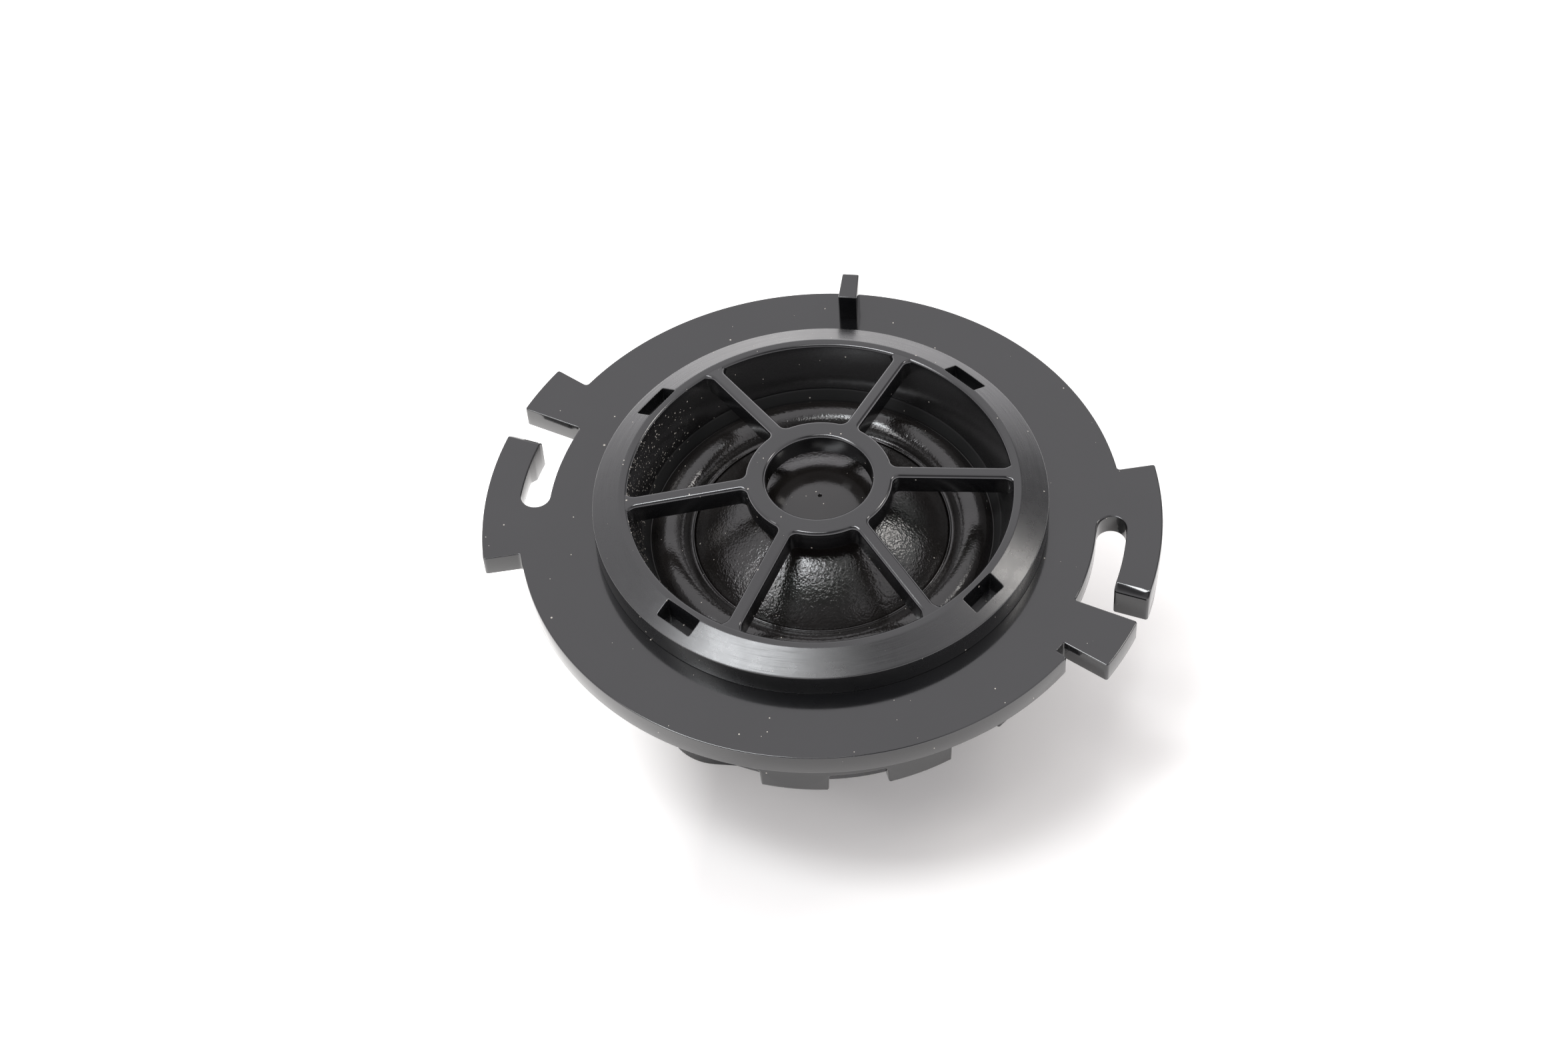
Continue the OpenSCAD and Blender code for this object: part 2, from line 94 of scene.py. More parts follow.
def path(segs, radii, n=5, closed=True):
    """Joins polylines end to end with a round corner of the given radius between each and the next."""
    segs = [np.array(s, float) for s in segs]
    m = len(segs)
    corner = []
    for i in range(m):
        j = (i + 1) % m
        r = radii[i] if not isinstance(radii, (int, float)) else radii
        if (not closed and i == m - 1) or r <= 0:
            corner.append(None)
            continue
        a, b = unit(segs[i][-1] - segs[i][-2]), unit(segs[j][1] - segs[j][0])
        phi = math.acos(max(-1.0, min(1.0, float(a @ b))))
        corner.append(
            (r * math.tan(phi / 2), phi, segs[i][-1].copy()) if phi > 0.03 else None
        )
    cut = []
    for i in range(m):
        s = segs[i]
        if corner[i]:
            s = trim(s[::-1], corner[i][0])[::-1]
        if corner[i - 1] and (closed or i > 0):
            s = trim(s, corner[i - 1][0])
        cut.append(s)
    out = []
    for i in range(m):
        out.extend(cut[i])
        if corner[i]:
            p0, p1, p2 = cut[i][-1], corner[i][2], cut[(i + 1) % m][0]
            w = math.cos(corner[i][1] / 2)
            k = max(2, n)
            for q in range(1, k):
                t = q / k
                a, b, c = (1 - t) ** 2, 2 * t * (1 - t) * w, t * t
                out.append((a * p0 + b * p1 + c * p2) / (a + b + c))
    keep = []
    for p in out:
        if not keep or np.linalg.norm(p - keep[-1]) > 2e-3:
            keep.append(np.array(p, float))
    if closed and np.linalg.norm(keep[0] - keep[-1]) < 2e-3:
        keep.pop()
    return np.array(keep)


def inset(p, d, k=None):
    t = np.roll(p, -1, 0) - p
    t = t / np.linalg.norm(t, axis=1)[:, None]
    n = np.stack([-t[:, 1], t[:, 0]], 1)
    n0 = np.roll(n, 1, 0)
    m = (n + n0) / np.maximum(1 + (n * n0).sum(1), 0.35)[:, None]
    s = d if k is None else (d * k)[:, None]
    return p + m * s


def inside(pts, loops):
    """Even-odd test of pts against closed loops."""
    x, y = pts[:, 0], pts[:, 1]
    odd = np.zeros(len(pts), bool)
    for lp in loops:
        q = np.roll(lp, -1, 0)
        for (x0, y0), (x1, y1) in zip(lp, q):
            if y0 == y1:
                continue
            hit = (y0 > y) != (y1 > y)
            if hit.any():
                xs = x0 + (y - y0) * (x1 - x0) / (y1 - y0)
                odd ^= hit & (x < xs)
    return odd


def cap(loops, pts=None, lines=()):
    """Triangles that fill loops. Returns (points, triangles); the loops' points come first, in order."""
    allp = [np.array(lp, float) for lp in loops]
    edges, base = [], 0
    for lp in allp:
        n = len(lp)
        edges += [(base + i, base + (i + 1) % n) for i in range(n)]
        base += n
    ring = np.concatenate(allp)
    for p, q in lines:
        a = int(np.argmin(((ring - np.array(p)) ** 2).sum(1)))
        b = int(np.argmin(((ring - np.array(q)) ** 2).sum(1)))
        if a != b:
            edges.append((a, b))
    if pts is not None and len(pts):
        pts = np.array(pts, float)
        pts = pts[inside(pts, allp)]
        full = np.concatenate([ring, pts])
    else:
        full = ring
    vs, _, fs, orig, _, _ = delaunay_2d_cdt(
        [Vector((float(p[0]), float(p[1]))) for p in full], edges, [], 0, 1e-7
    )
    back = [o[0] if o else -1 for o in orig]
    extra = [i for i, b in enumerate(back) if b < 0]
    if extra:
        add = np.array([[vs[i][0], vs[i][1]] for i in extra])
        for k, i in enumerate(extra):
            back[i] = len(full) + k
        full = np.concatenate([full, add])
    tri = np.array([[back[i] for i in f] for f in fs if len(f) == 3], int)
    cen = full[tri].mean(1)
    tri = tri[inside(cen, allp)]
    a, b, c = full[tri[:, 0]], full[tri[:, 1]], full[tri[:, 2]]
    area = (b[:, 0] - a[:, 0]) * (c[:, 1] - a[:, 1]) - (b[:, 1] - a[:, 1]) * (
        c[:, 0] - a[:, 0]
    )
    tri[area < 0] = tri[area < 0][:, ::-1]
    return full, tri[np.abs(area) > 1e-10]


class Mesh:
    """Vertices in mm and faces, collected and turned into an object."""

    def __init__(self):
        self.v, self.f, self.m = [], [], []
        self.n = 0

    def add(self, v, f, m=0):
        v = np.array(v, float).reshape(-1, 3)
        self.v.append(v)
        self.f.extend([tuple(int(i) + self.n for i in q) for q in f])
        self.m.extend([m] * len(f))
        self.n += len(v)
        return self

    def merge(self, other, mat=None, m=None):
        v = np.concatenate(other.v)
        if mat is not None:
            v = (np.c_[v, np.ones(len(v))] @ np.array(mat).T)[:, :3]
        base = self.n
        self.v.append(v)
        self.f.extend([tuple(i + base for i in q) for q in other.f])
        self.m.extend(other.m if m is None else [m] * len(other.f))
        self.n += len(v)
        return self

    def arrays(self):
        return np.concatenate(self.v)


def solid(
    loops,
    top,
    bot,
    rt=0.12,
    rb=0.12,
    n=3,
    kk=None,
    pt=None,
    pb=None,
    lt=(),
    lb=(),
    caps="tb",
    fmap=None,
    sup=0.06,
    split=None,
):
    """A plate between z = bot(x, y) and z = top(x, y) over a 2D region with rounded rims.
    loops keep the material on their left. fmap turns (x, y, z) into the piece's own coordinates.
    split(loop, i) and split_cap(points) sort faces into two meshes when split is given."""
    M = Mesh()
    N = Mesh()
    f_top = top if callable(top) else (lambda x, y: np.full(len(x), float(top)))
    f_bot = bot if callable(bot) else (lambda x, y: np.full(len(x), float(bot)))
    levels = []
    if rt > 0:
        levels.append((rt + sup, 0.0, "t"))
        for k in range(n + 1):
            a = math.pi / 2 * k / n
            levels.append((rt * (1 - math.sin(a)), -rt * (1 - math.cos(a)), "t"))
    else:
        levels.append((0.0, 0.0, "t"))
    if rb > 0:
        for k in range(n, -1, -1):
            a = math.pi / 2 * k / n
            levels.append((rb * (1 - math.sin(a)), rb * (1 - math.cos(a)), "b"))
        levels.append((rb + sup, 0.0, "b"))
    else:
        levels.append((0.0, 0.0, "b"))
    V, F, G = [], [], []
    count = 0
    first, last, rt_loops, rb_loops = [], [], [], []
    for li, lp in enumerate(loops):
        lp = np.array(lp, float)
        k = None if kk is None or kk[li] is None else np.array(kk[li], float)
        ids = []
        for d, dz, side in levels:
            q = inset(lp, d, k)
            z = (f_top if side == "t" else f_bot)(q[:, 0], q[:, 1])
            dzz = dz if k is None else dz * k
            V.append(np.c_[q, z + dzz])
            ids.append(np.arange(count, count + len(lp)))
            count += len(lp)
        for a, b in zip(ids, ids[1:]):
            m = len(lp)
            for i in range(m):
                j = (i + 1) % m
                F.append((b[i], b[j], a[j], a[i]))
                G.append((li, i))
        first.append(ids[0])
        last.append(ids[-1])
        rt_loops.append(inset(lp, levels[0][0], k))
        rb_loops.append(inset(lp, levels[-1][0], k))
    V = np.concatenate(V)
    for which, loops2, ids, ff, pts, lines in (
        ("t", rt_loops, first, f_top, pt, lt),
        ("b", rb_loops, last, f_bot, pb, lb),
    ):
        if which not in caps:
            continue
        full, tri = cap(loops2, pts, lines)
        nring = sum(len(x) for x in loops2)
        more = full[nring:]
        index = np.concatenate([np.concatenate(ids), np.arange(len(V), len(V) + len(more))])
        if len(more):
            V = np.concatenate([V, np.c_[more, ff(more[:, 0], more[:, 1])]])
        cen = full[tri].mean(1)
        for t, c in zip(index[tri], cen):
            F.append(tuple(t) if which == "t" else tuple(t[::-1]))
            G.append(("cap", c))
    if fmap is not None:
        P = fmap(V)
    else:
        P = V
    if split is None:
        return M.add(P, F)
    pick = [split(*g) for g in G]
    for mesh, want in ((M, False), (N, True)):
        fs = [f for f, s in zip(F, pick) if s == want]
        used = sorted({i for f in fs for i in f})
        new = {o: i for i, o in enumerate(used)}
        mesh.add(P[used], [tuple(new[i] for i in f) for f in fs])
    return M, N


def rounded(pts, radii, n=4, closed=False):
    """A polyline with round corners, for lathe profiles."""
    p = [np.array(q, float) for q in pts]
    m = len(p)
    segs = [[p[i], p[(i + 1) % m]] for i in range(m if closed else m - 1)]
    if closed:
        rr = [radii[(i + 1) % m] for i in range(m)]
    else:
        rr = [radii[i + 1] for i in range(m - 2)] + [0]
    return path(segs, rr, n, closed)


def lathe(prof, n=240, closed=False, a0=0.0, a1=360.0):
    """Turns an (r, z) profile about Z. The profile runs so that the surface is on its right."""
    prof = np.array(prof, float)
    full = abs(a1 - a0 - 360) < 1e-6
    cols = n if full else n + 1
    V, F = [], []
    ang = np.radians(a0 + (a1 - a0) * np.arange(cols) / n)
    k = len(prof)
    axis = [i for i in range(k) if prof[i, 0] < 1e-6]
    idx = np.zeros((k, cols), int)
    c = 0
    for i in range(k):
        if i in axis:
            V.append([[0, 0, prof[i, 1]]])
            idx[i, :] = c
            c += 1
        else:
            V.append(
                np.stack(
                    [
                        prof[i, 0] * np.cos(ang),
                        prof[i, 0] * np.sin(ang),
                        np.full(cols, prof[i, 1]),
                    ],
                    1,
                )
            )
            idx[i] = np.arange(c, c + cols)
            c += cols
    for i in range(k if closed else k - 1):
        j = (i + 1) % k
        for a in range(n):
            b = (a + 1) % cols
            q = [idx[i, a], idx[j, a], idx[j, b], idx[i, b]]
            u = []
            for s in q:
                if not u or u[-1] != s:
                    u.append(s)
            if u[0] == u[-1]:
                u.pop()
            if len(u) >= 3:
                F.append(tuple(u))
    return Mesh().add(np.concatenate([np.array(v, float).reshape(-1, 3) for v in V]), F)


def build(name, mesh, mats, lift=Z0, angle=38, weld=0.0004, shift=None):
    """Makes the object from mm coordinates, smooth-shaded with sharp edges above angle."""
    v = mesh.arrays().copy()
    if shift is not None:
        v = v + np.array(shift)
    v[:, 2] += lift
    me = bpy.data.meshes.new(name)
    me.from_pydata((v * MM).tolist(), [], mesh.f)
    me.validate()
    mats = mats if isinstance(mats, (list, tuple)) else [mats]
    for m in mats:
        me.materials.append(m)
    if len(mats) > 1 and len(me.polygons) == len(mesh.m):
        me.polygons.foreach_set("material_index", np.array(mesh.m, np.int32))
    if weld:
        import bmesh

        bm = bmesh.new()
        bm.from_mesh(me)
        bmesh.ops.remove_doubles(bm, verts=bm.verts, dist=weld * MM)
        bm.to_mesh(me)
        bm.free()
    me.polygons.foreach_set("use_smooth", np.ones(len(me.polygons), bool))
    me.set_sharp_from_angle(angle=math.radians(angle))
    me.update()
    o = bpy.data.objects.new(name, me)
    bpy.context.scene.collection.objects.link(o)
    return o


def rot(a, p=None):
    m = np.array(Matrix.Rotation(math.radians(a), 4, "Z"))
    return m if p is None else (np.c_[p, np.ones(len(p))] @ m.T)[:, :3]


# ------------------------------------------------------------------ materials
class Nodes:
    def __init__(self, name):
        self.mat = bpy.data.materials.new(name)
        self.mat.use_nodes = True
        self.t = self.mat.node_tree
        self.bsdf = self.t.nodes["Principled BSDF"]
        self.obj = self.new("ShaderNodeTexCoord").outputs["Object"]

    def new(self, kind, **values):
        n = self.t.nodes.new(kind)
        for k, v in values.items():
            setattr(n, k, v)
        return n

    def link(self, a, b):
        self.t.links.new(a, b)

    def noise(self, scale, detail=3.0, rough=0.5, vector=None, dist=0.0):
        n = self.new("ShaderNodeTexNoise")
        n.inputs["Scale"].default_value = scale
        n.inputs["Detail"].default_value = detail
        n.inputs["Roughness"].default_value = rough
        n.inputs["Distortion"].default_value = dist
        self.link(vector or self.obj, n.inputs["Vector"])
        return n.outputs["Fac"]

    def ramp(self, fac, a, b, lo=0.0, hi=1.0):
        n = self.new("ShaderNodeMapRange", clamp=True)
        for i, x in enumerate((a, b, lo, hi)):
            n.inputs[1 + i].default_value = x
        self.link(fac, n.inputs[0])
        return n.outputs[0]

    def math(self, op, a, b=None, c=None):
        n = self.new("ShaderNodeMath", operation=op)
        for i, x in enumerate((a, b, c)):
            if x is None:
                continue
            if isinstance(x, (int, float)):
                n.inputs[i].default_value = x
            else:
                self.link(x, n.inputs[i])
        return n.outputs[0]

    def mix(self, fac, a, b):
        n = self.new("ShaderNodeMix", data_type="RGBA")
        if isinstance(fac, (int, float)):
            n.inputs["Factor"].default_value = fac
        else:
            self.link(fac, n.inputs["Factor"])
        for key, x in (("A", a), ("B", b)):
            s = [i for i in n.inputs if i.name == key and i.type == "RGBA"][0]
            if isinstance(x, (tuple, list)):
                s.default_value = (*x, 1.0) if len(x) == 3 else x
            else:
                self.link(x, s)
        return [o for o in n.outputs if o.type == "RGBA"][0]

    def xyz(self):
        n = self.new("ShaderNodeSeparateXYZ")
        self.link(self.obj, n.inputs[0])
        return n.outputs

    def polar(self, ra=1.0, ta=1.0, za=1.0):
        """(radius * ra, angle * ta, z * za) as a vector."""
        x, y, z = self.xyz()
        r = self.math("SQRT", self.math("ADD", self.math("MULTIPLY", x, x), self.math("MULTIPLY", y, y)))
        t = self.math("ARCTAN2", y, x)
        c = self.new("ShaderNodeCombineXYZ")
        self.link(self.math("MULTIPLY", r, ra), c.inputs[0])
        self.link(self.math("MULTIPLY", t, ta), c.inputs[1])
        self.link(self.math("MULTIPLY", z, za), c.inputs[2])
        return c.outputs[0], r, t, z

    def bump(self, height, strength, distance, normal=None):
        n = self.new("ShaderNodeBump")
        n.inputs["Strength"].default_value = strength
        n.inputs["Distance"].default_value = distance
        self.link(height, n.inputs["Height"])
        if normal is not None:
            self.link(normal, n.inputs["Normal"])
        return n.outputs[0]

    def specks(self, scale, size, share, mask=None, seed=0.0):
        """1 on small dust specks: one per Voronoi cell, in a share of the cells."""
        mp = self.new("ShaderNodeMapping")
        mp.inputs["Location"].default_value = (seed, seed * 1.7, seed * 0.6)
        self.link(self.obj, mp.inputs["Vector"])
        v = self.new("ShaderNodeTexVoronoi")
        v.inputs["Scale"].default_value = scale
        self.link(mp.outputs[0], v.inputs["Vector"])
        s = self.new("ShaderNodeSeparateColor")
        self.link(v.outputs["Color"], s.inputs[0])
        lim = self.math("MULTIPLY", s.outputs[1], size)
        near = self.math("LESS_THAN", v.outputs["Distance"], lim)
        if mask is None:
            pick = self.math("LESS_THAN", s.outputs[0], share)
        else:
            pick = self.math("LESS_THAN", s.outputs[0], self.math("MULTIPLY", mask, share))
        return self.math("MULTIPLY", near, pick)

    def set(self, **kw):
        for k, v in kw.items():
            k = {
                "base": "Base Color",
                "rough": "Roughness",
                "ior": "IOR",
                "metal": "Metallic",
                "normal": "Normal",
                "coat": "Coat Weight",
                "coat_rough": "Coat Roughness",
                "sheen": "Sheen Weight",
                "aniso": "Anisotropic",
                "spec": "Specular IOR Level",
                "sss": "Subsurface Weight",
                "sheen_rough": "Sheen Roughness",
            }[k]
            s = self.bsdf.inputs[k]
            if isinstance(v, bpy.types.NodeSocket):
                self.link(v, s)
            elif isinstance(v, (tuple, list)):
                s.default_value = (*v, 1.0) if len(v) == 3 else v
            else:
                s.default_value = v
        return self.mat


DUST = (0.46, 0.43, 0.38)


def plastic(name, base, rough, ior=1.62, dusty=0.02, grain=0.10, dust_mask=None, smudge=0.10, extra=None, peel=0.0):
    """Moulded black plastic: slight flow marks, fine grain, smudges and dust."""
    n = Nodes(name)
    big = n.noise(130, 3, 0.55)
    fine = n.noise(5200, 2, 0.5)
    mid = n.noise(900, 3, 0.6)
    dark = tuple(c * 0.78 for c in base)
    light = tuple(min(1, c * 1.28) for c in base)
    col = n.mix(n.ramp(big, 0.3, 0.7), dark, light)
    sp = n.specks(760, 0.085, dusty, seed=0.31)
    sp2 = n.specks(2300, 0.16, dusty * 0.8, seed=1.7)
    allsp = n.math("MAXIMUM", sp, sp2)
    if dust_mask is not None:
        m = dust_mask(n)
        dense = n.specks(4600, 0.36, 0.95, mask=m, seed=2.9)
        dense2 = n.specks(2400, 0.20, 0.9, mask=m, seed=4.3)
        allsp = n.math("MAXIMUM", allsp, n.math("MAXIMUM", dense, dense2))
    col = n.mix(allsp, col, DUST)
    r = n.math(
        "ADD",
        n.ramp(n.noise(70, 4, 0.6, dist=0.8), 0.35, 0.75, rough, rough + smudge),
        n.ramp(mid, 0.3, 0.7, -0.015, 0.02),
    )
    r = n.math("MAXIMUM", r, n.math("MULTIPLY", allsp, 0.85))
    h = n.math("ADD", n.math("MULTIPLY", fine, grain), n.math("MULTIPLY", mid, peel))
    h = n.math("ADD", h, n.math("MULTIPLY", allsp, 1.2))
    if extra is not None:
        h, r, col = extra(n, h, r, col)
    return n.set(base=col, rough=r, ior=ior, normal=n.bump(h, 0.6, 0.00002))


def horn_dust(n):
    """A dust mask that is strong low on the horn's left side."""
    x, y, z = n.xyz()
    left = n.ramp(x, -0.0080, -0.0130, 0.0, 1.0)
    front = n.ramp(y, 0.0110, 0.0020, 0.10, 1.0)
    rr = n.math("SQRT", n.math("ADD", n.math("MULTIPLY", x, x), n.math("MULTIPLY", y, y)))
    wall = n.ramp(rr, 0.01594, 0.01590, 0.0, 1.0)
    cone = n.math("ADD", n.math("MULTIPLY", n.math("SUBTRACT", z, 0.0187), 0.218), 0.01478)
    wall = n.math("MULTIPLY", wall, n.ramp(n.math("SUBTRACT", rr, cone), 0.0, 0.00002, 0.0, 1.0))
    m = n.math("MULTIPLY", n.math("MULTIPLY", left, front), n.ramp(n.noise(420, 2), 0.32, 0.55, 0.35, 1.0))
    return n.math("MULTIPLY", m, wall)


def turned(n, h, r, col):
    """Fine lines round the axis, as on the grille's bevel."""
    v, rr, t, z = n.polar(ra=9000.0, ta=6.0, za=0.0)
    lines = n.noise(1.0, 2, 0.5, vector=v)
    v2, _, _, _ = n.polar(ra=2600.0, ta=3.5, za=0.0)
    wide = n.noise(1.0, 2, 0.5, vector=v2)
    on = n.ramp(rr, 0.01640, 0.01660, 0.0, 1.0)
    h = n.math("ADD", h, n.math("MULTIPLY", n.math("ADD", n.math("MULTIPLY", lines, 0.45), n.math("MULTIPLY", wide, 0.9)), on))
    r = n.math("ADD", r, n.math("MULTIPLY", on, 0.12))
    wall = n.math("MULTIPLY", n.ramp(rr, 0.01592, 0.01588, 0.0, 1.0), n.ramp(z, 0.0231, 0.0224, 0.0, 1.0))
    wall = n.math("MULTIPLY", wall, n.ramp(rr, 0.0143, 0.0148, 0.0, 1.0))
    col = n.mix(n.math("MULTIPLY", wall, 0.028), col, (0.42, 0.41, 0.40))
    return h, r, col


BLACK = (0.0044, 0.0045, 0.0050)
M_FLANGE = plastic("flange_plastic", BLACK, 0.10, ior=1.78, dusty=0.10, smudge=0.05, grain=0.05)
M_ARM = plastic("arm_plastic", BLACK, 0.10, ior=1.78, dusty=0.05, smudge=0.05, grain=0.05)
M_GRILLE = plastic(
    "grille_plastic", BLACK, 0.13, ior=1.78, dusty=0.14, smudge=0.06, grain=0.06, dust_mask=horn_dust, extra=turned
)
M_HOOK = plastic("hook_plastic", BLACK, 0.30, dusty=0.0)
M_COVER = plastic("cover_plastic", (0.017, 0.017, 0.018), 0.34, ior=1.6, dusty=0.04, grain=0.5)
M_CHASSIS = plastic("chassis_plastic", (0.02, 0.02, 0.022), 0.4, ior=1.55, dusty=0.02)
M_CLAMP = plastic("clamp_plastic", (0.011, 0.011, 0.011), 0.62, ior=1.30, dusty=0.12, dust_mask=horn_dust)


def film(name, base, rough, peel, flat=None):
    """Coated fabric of the dome and its surround: orange peel that fades towards the apex."""
    n = Nodes(name)
    v, r, t, z = n.polar()
    out = n.ramp(r, 0.0036, 0.0066, 0.10, 1.0)
    bumps = n.noise(5200, 2.0, 0.5)
    coarse = n.noise(2200, 2.0, 0.5)
    fine = n.noise(12000, 1.0, 0.5)
    wide = n.noise(240, 2.0, 0.5)
    h = n.math("ADD", n.math("MULTIPLY", bumps, 1.5), n.math("MULTIPLY", coarse, 1.6))
    h = n.math("ADD", n.math("MULTIPLY", h, out), n.math("MULTIPLY", fine, 0.12))
    sp = n.math("MAXIMUM", n.specks(900, 0.085, 0.16, seed=0.7), n.specks(2600, 0.15, 0.07, seed=3.1))
    col = n.mix(n.ramp(wide, 0.3, 0.7), tuple(c * 0.8 for c in base), tuple(c * 1.25 for c in base))
    col = n.mix(sp, col, DUST)
    h = n.math("ADD", h, n.math("MULTIPLY", sp, 1.2))
    ro = n.math("ADD", n.ramp(n.noise(700, 3), 0.3, 0.7, rough - 0.03, rough + 0.05), n.math("MULTIPLY", sp, 0.6))
    if flat is not None:
        # the flat foot outside the roll stays dull
        ro = n.math("ADD", ro, n.ramp(r, flat, flat + 0.0003, 0.0, 0.45))
    return n.set(base=col, rough=ro, ior=1.66, normal=n.bump(h, peel, 0.00002))


M_DOME = film("dome_film", (0.0098, 0.0086, 0.0079), 0.14, 1.15)
M_SURROUND = film("surround_film", (0.0105, 0.0094, 0.0088), 0.15, 0.6, flat=0.0139)


def metal(name, base, rough, scale=900.0, aniso=0.0, blotch=0.12):
    n = Nodes(name)
    v, _, _, _ = n.polar(ra=5000.0, ta=4.0, za=5000.0)
    lines = n.noise(1.0, 2, 0.5, vector=v)
    big = n.noise(220, 4, 0.6)
    col = n.mix(n.ramp(big, 0.3, 0.7), tuple(c * (1 - blotch) for c in base), tuple(min(1, c * (1 + blotch)) for c in base))
    r = n.math("ADD", n.ramp(n.noise(scale, 3), 0.3, 0.7, rough - 0.05, rough + 0.08), n.ramp(big, 0.4, 0.8, 0.0, 0.06))
    return n.set(base=col, rough=r, metal=1.0, aniso=aniso, normal=n.bump(lines, 0.15, 0.00001))


M_STEEL = metal("zinc_steel", (0.56, 0.57, 0.58), 0.30)
M_NICKEL = metal("nickel", (0.66, 0.64, 0.60), 0.22)
M_TIN = metal("tinned_brass", (0.74, 0.72, 0.66), 0.26)
M_BRASS = metal("brass", (0.72, 0.55, 0.28), 0.28)
M_COPPER = metal("enamelled_copper", (0.70, 0.30, 0.13), 0.25)
M_SOLDER = metal("solder", (0.62, 0.62, 0.62), 0.30)


def matte(name, base, rough, scale, var=0.25, bump=0.5, dist=0.00005, ior=1.5, sheen=0.0):
    n = Nodes(name)
    a = n.noise(scale, 4, 0.6)
    col = n.mix(n.ramp(a, 0.25, 0.75), tuple(c * (1 - var) for c in base), tuple(min(1, c * (1 + var)) for c in base))
    r = n.ramp(n.noise(scale * 2.1, 3), 0.3, 0.7, rough - 0.06, min(1.0, rough + 0.06))
    return n.set(base=col, rough=r, ior=ior, sheen=sheen, normal=n.bump(n.noise(scale * 3.0, 3), bump, dist))


M_FELT = matte("felt", (0.30, 0.29, 0.26), 0.95, 3500, bump=0.9, sheen=0.4)
M_FOAM = matte("foam", (0.055, 0.055, 0.058), 0.95, 2600, bump=1.0, dist=0.00012, sheen=0.2)
M_BOARD = matte("board", (0.035, 0.12, 0.055), 0.42, 1200, bump=0.2)
M_WIRE_R = matte("wire_red", (0.42, 0.020, 0.014), 0.42, 800, bump=0.15)
M_WIRE_B = matte("wire_black", (0.018, 0.018, 0.02), 0.42, 800, bump=0.15)
M_CAP = matte("capacitor_sleeve", (0.030, 0.034, 0.05), 0.30, 600, bump=0.1)
M_KAPTON = matte("kapton", (0.50, 0.22, 0.05), 0.28, 900, bump=0.1)

# ------------------------------------------------------------------ flange and latch arms
R, RT, T = 24.99, 28.14, 2.0
A_TAB0, A_TAB1, A_TIP, A_HINGE, A_ROOT, A_SLOT = -19.5, -30.0, -14.0, 2.8, 15.0, 0.3
R_ARM, R_SLOT = 25.2, 22.75
RM, RE = (R_ARM + R_SLOT) / 2, (R_ARM - R_SLOT) / 2
R_NOTCH, A_NOTCH = 24.0, -32.4


def tip_s(x, y, side):
    """Distance from the latch arm's tip face, mm."""
    a = math.radians(A_TIP + side)
    return -math.sin(a) * x + math.cos(a) * y


def fine_arc(r, marks, step):
    """An arc through the given angles, with short steps near them."""
    out = []
    for a, b in zip(marks, marks[1:]):
        out.extend(arc(r, a, b, step)[:-1])
    out.append(pol(r, marks[-1]))
    return out


def half_outline(s):
    st = 0.7
    small = math.degrees(0.6 / 26.7)
    k1, k2 = math.degrees(2.0 / 26.7), math.degrees(3.4 / 26.7)
    tip = [A_TIP, A_TIP + small * 0.5, A_TIP + small, A_TIP + small * 1.3, A_TIP + k1 * 0.97, A_TIP + k1 * 1.03, A_TIP + k2 * 0.97, A_TIP + k2 * 1.03]
    g = [a + s for a in tip]
    end_c = pol(RM, A_SLOT + s)
    if s == 0:  # a small relief at the root of the right tab
        segs = [
            arc(R, A_ROOT - 180 + s, A_NOTCH + s, 0.75),
            seg(pol(R, A_NOTCH + s), pol(R_NOTCH, A_NOTCH + s), 0.3),
            arc(R_NOTCH, A_NOTCH + s, A_TAB1 + s, 0.6),
            seg(pol(R_NOTCH, A_TAB1 + s), pol(RT, A_TAB1 + s), 0.4),
        ]
        rad = [0.15, 0.12, 0.12, 0.22]
    else:
        segs = [
            arc(R, A_ROOT - 180 + s, A_TAB1 + s, 0.75),
            seg(pol(R, A_TAB1 + s), pol(RT, A_TAB1 + s), 0.4),
        ]
        rad = [0.3, 0.22]
    segs += [
        arc(RT, A_TAB1 + s, A_TAB0 + s, st),
        seg(pol(RT, A_TAB0 + s), pol(R_SLOT, A_TAB0 + s), 0.5),
        arc(R_SLOT, A_TAB0 + s, A_SLOT + s, st),
        arc(RE, A_SLOT + 180 + s, A_SLOT + s, 8.0, end_c),
        fine_arc(R_ARM, [A_SLOT + s] + g[::-1], st),
        seg(pol(R_ARM, A_TIP + s), pol(RT, A_TIP + s), 0.4),
        fine_arc(RT, g + [A_HINGE + s, A_ROOT + s], st),
        seg(pol(RT, A_ROOT + s), pol(R, A_ROOT + s), 0.4),
    ]
    rad += [0.22, 0.2, 0, 0, 0.22, 0.22, 0.22, 0.25]
    return segs, rad


sa, ra_ = half_outline(0)
sb, rb_ = half_outline(180)
outer = path(sa + sb, ra_ + rb_, n=5)


def nearest(p, loop):
    return int(np.argmin(((loop - np.array(p)) ** 2).sum(1)))


arm_flag = np.zeros(len(outer), bool)
hinge_pts = []
for s in (0, 180):
    ang = (np.degrees(np.arctan2(outer[:, 1], outer[:, 0])) - s) % 360
    rad = np.hypot(outer[:, 0], outer[:, 1])
    # along the round end, the first vertex past the hinge line on the arm's side
    side = [i for i in range(len(outer)) if rad[i] > 24.35 and rad[i] < 25.1 and 1.2 < ang[i] < A_HINGE + 0.4]
    start = min(side, key=lambda i: abs(ang[i] - A_HINGE))
    stop = nearest(pol(RT, A_HINGE + s), outer)
    i = start
    while i != stop:
        arm_flag[i] = True
        i = (i + 1) % len(outer)
    hinge_pts.append((start, stop))


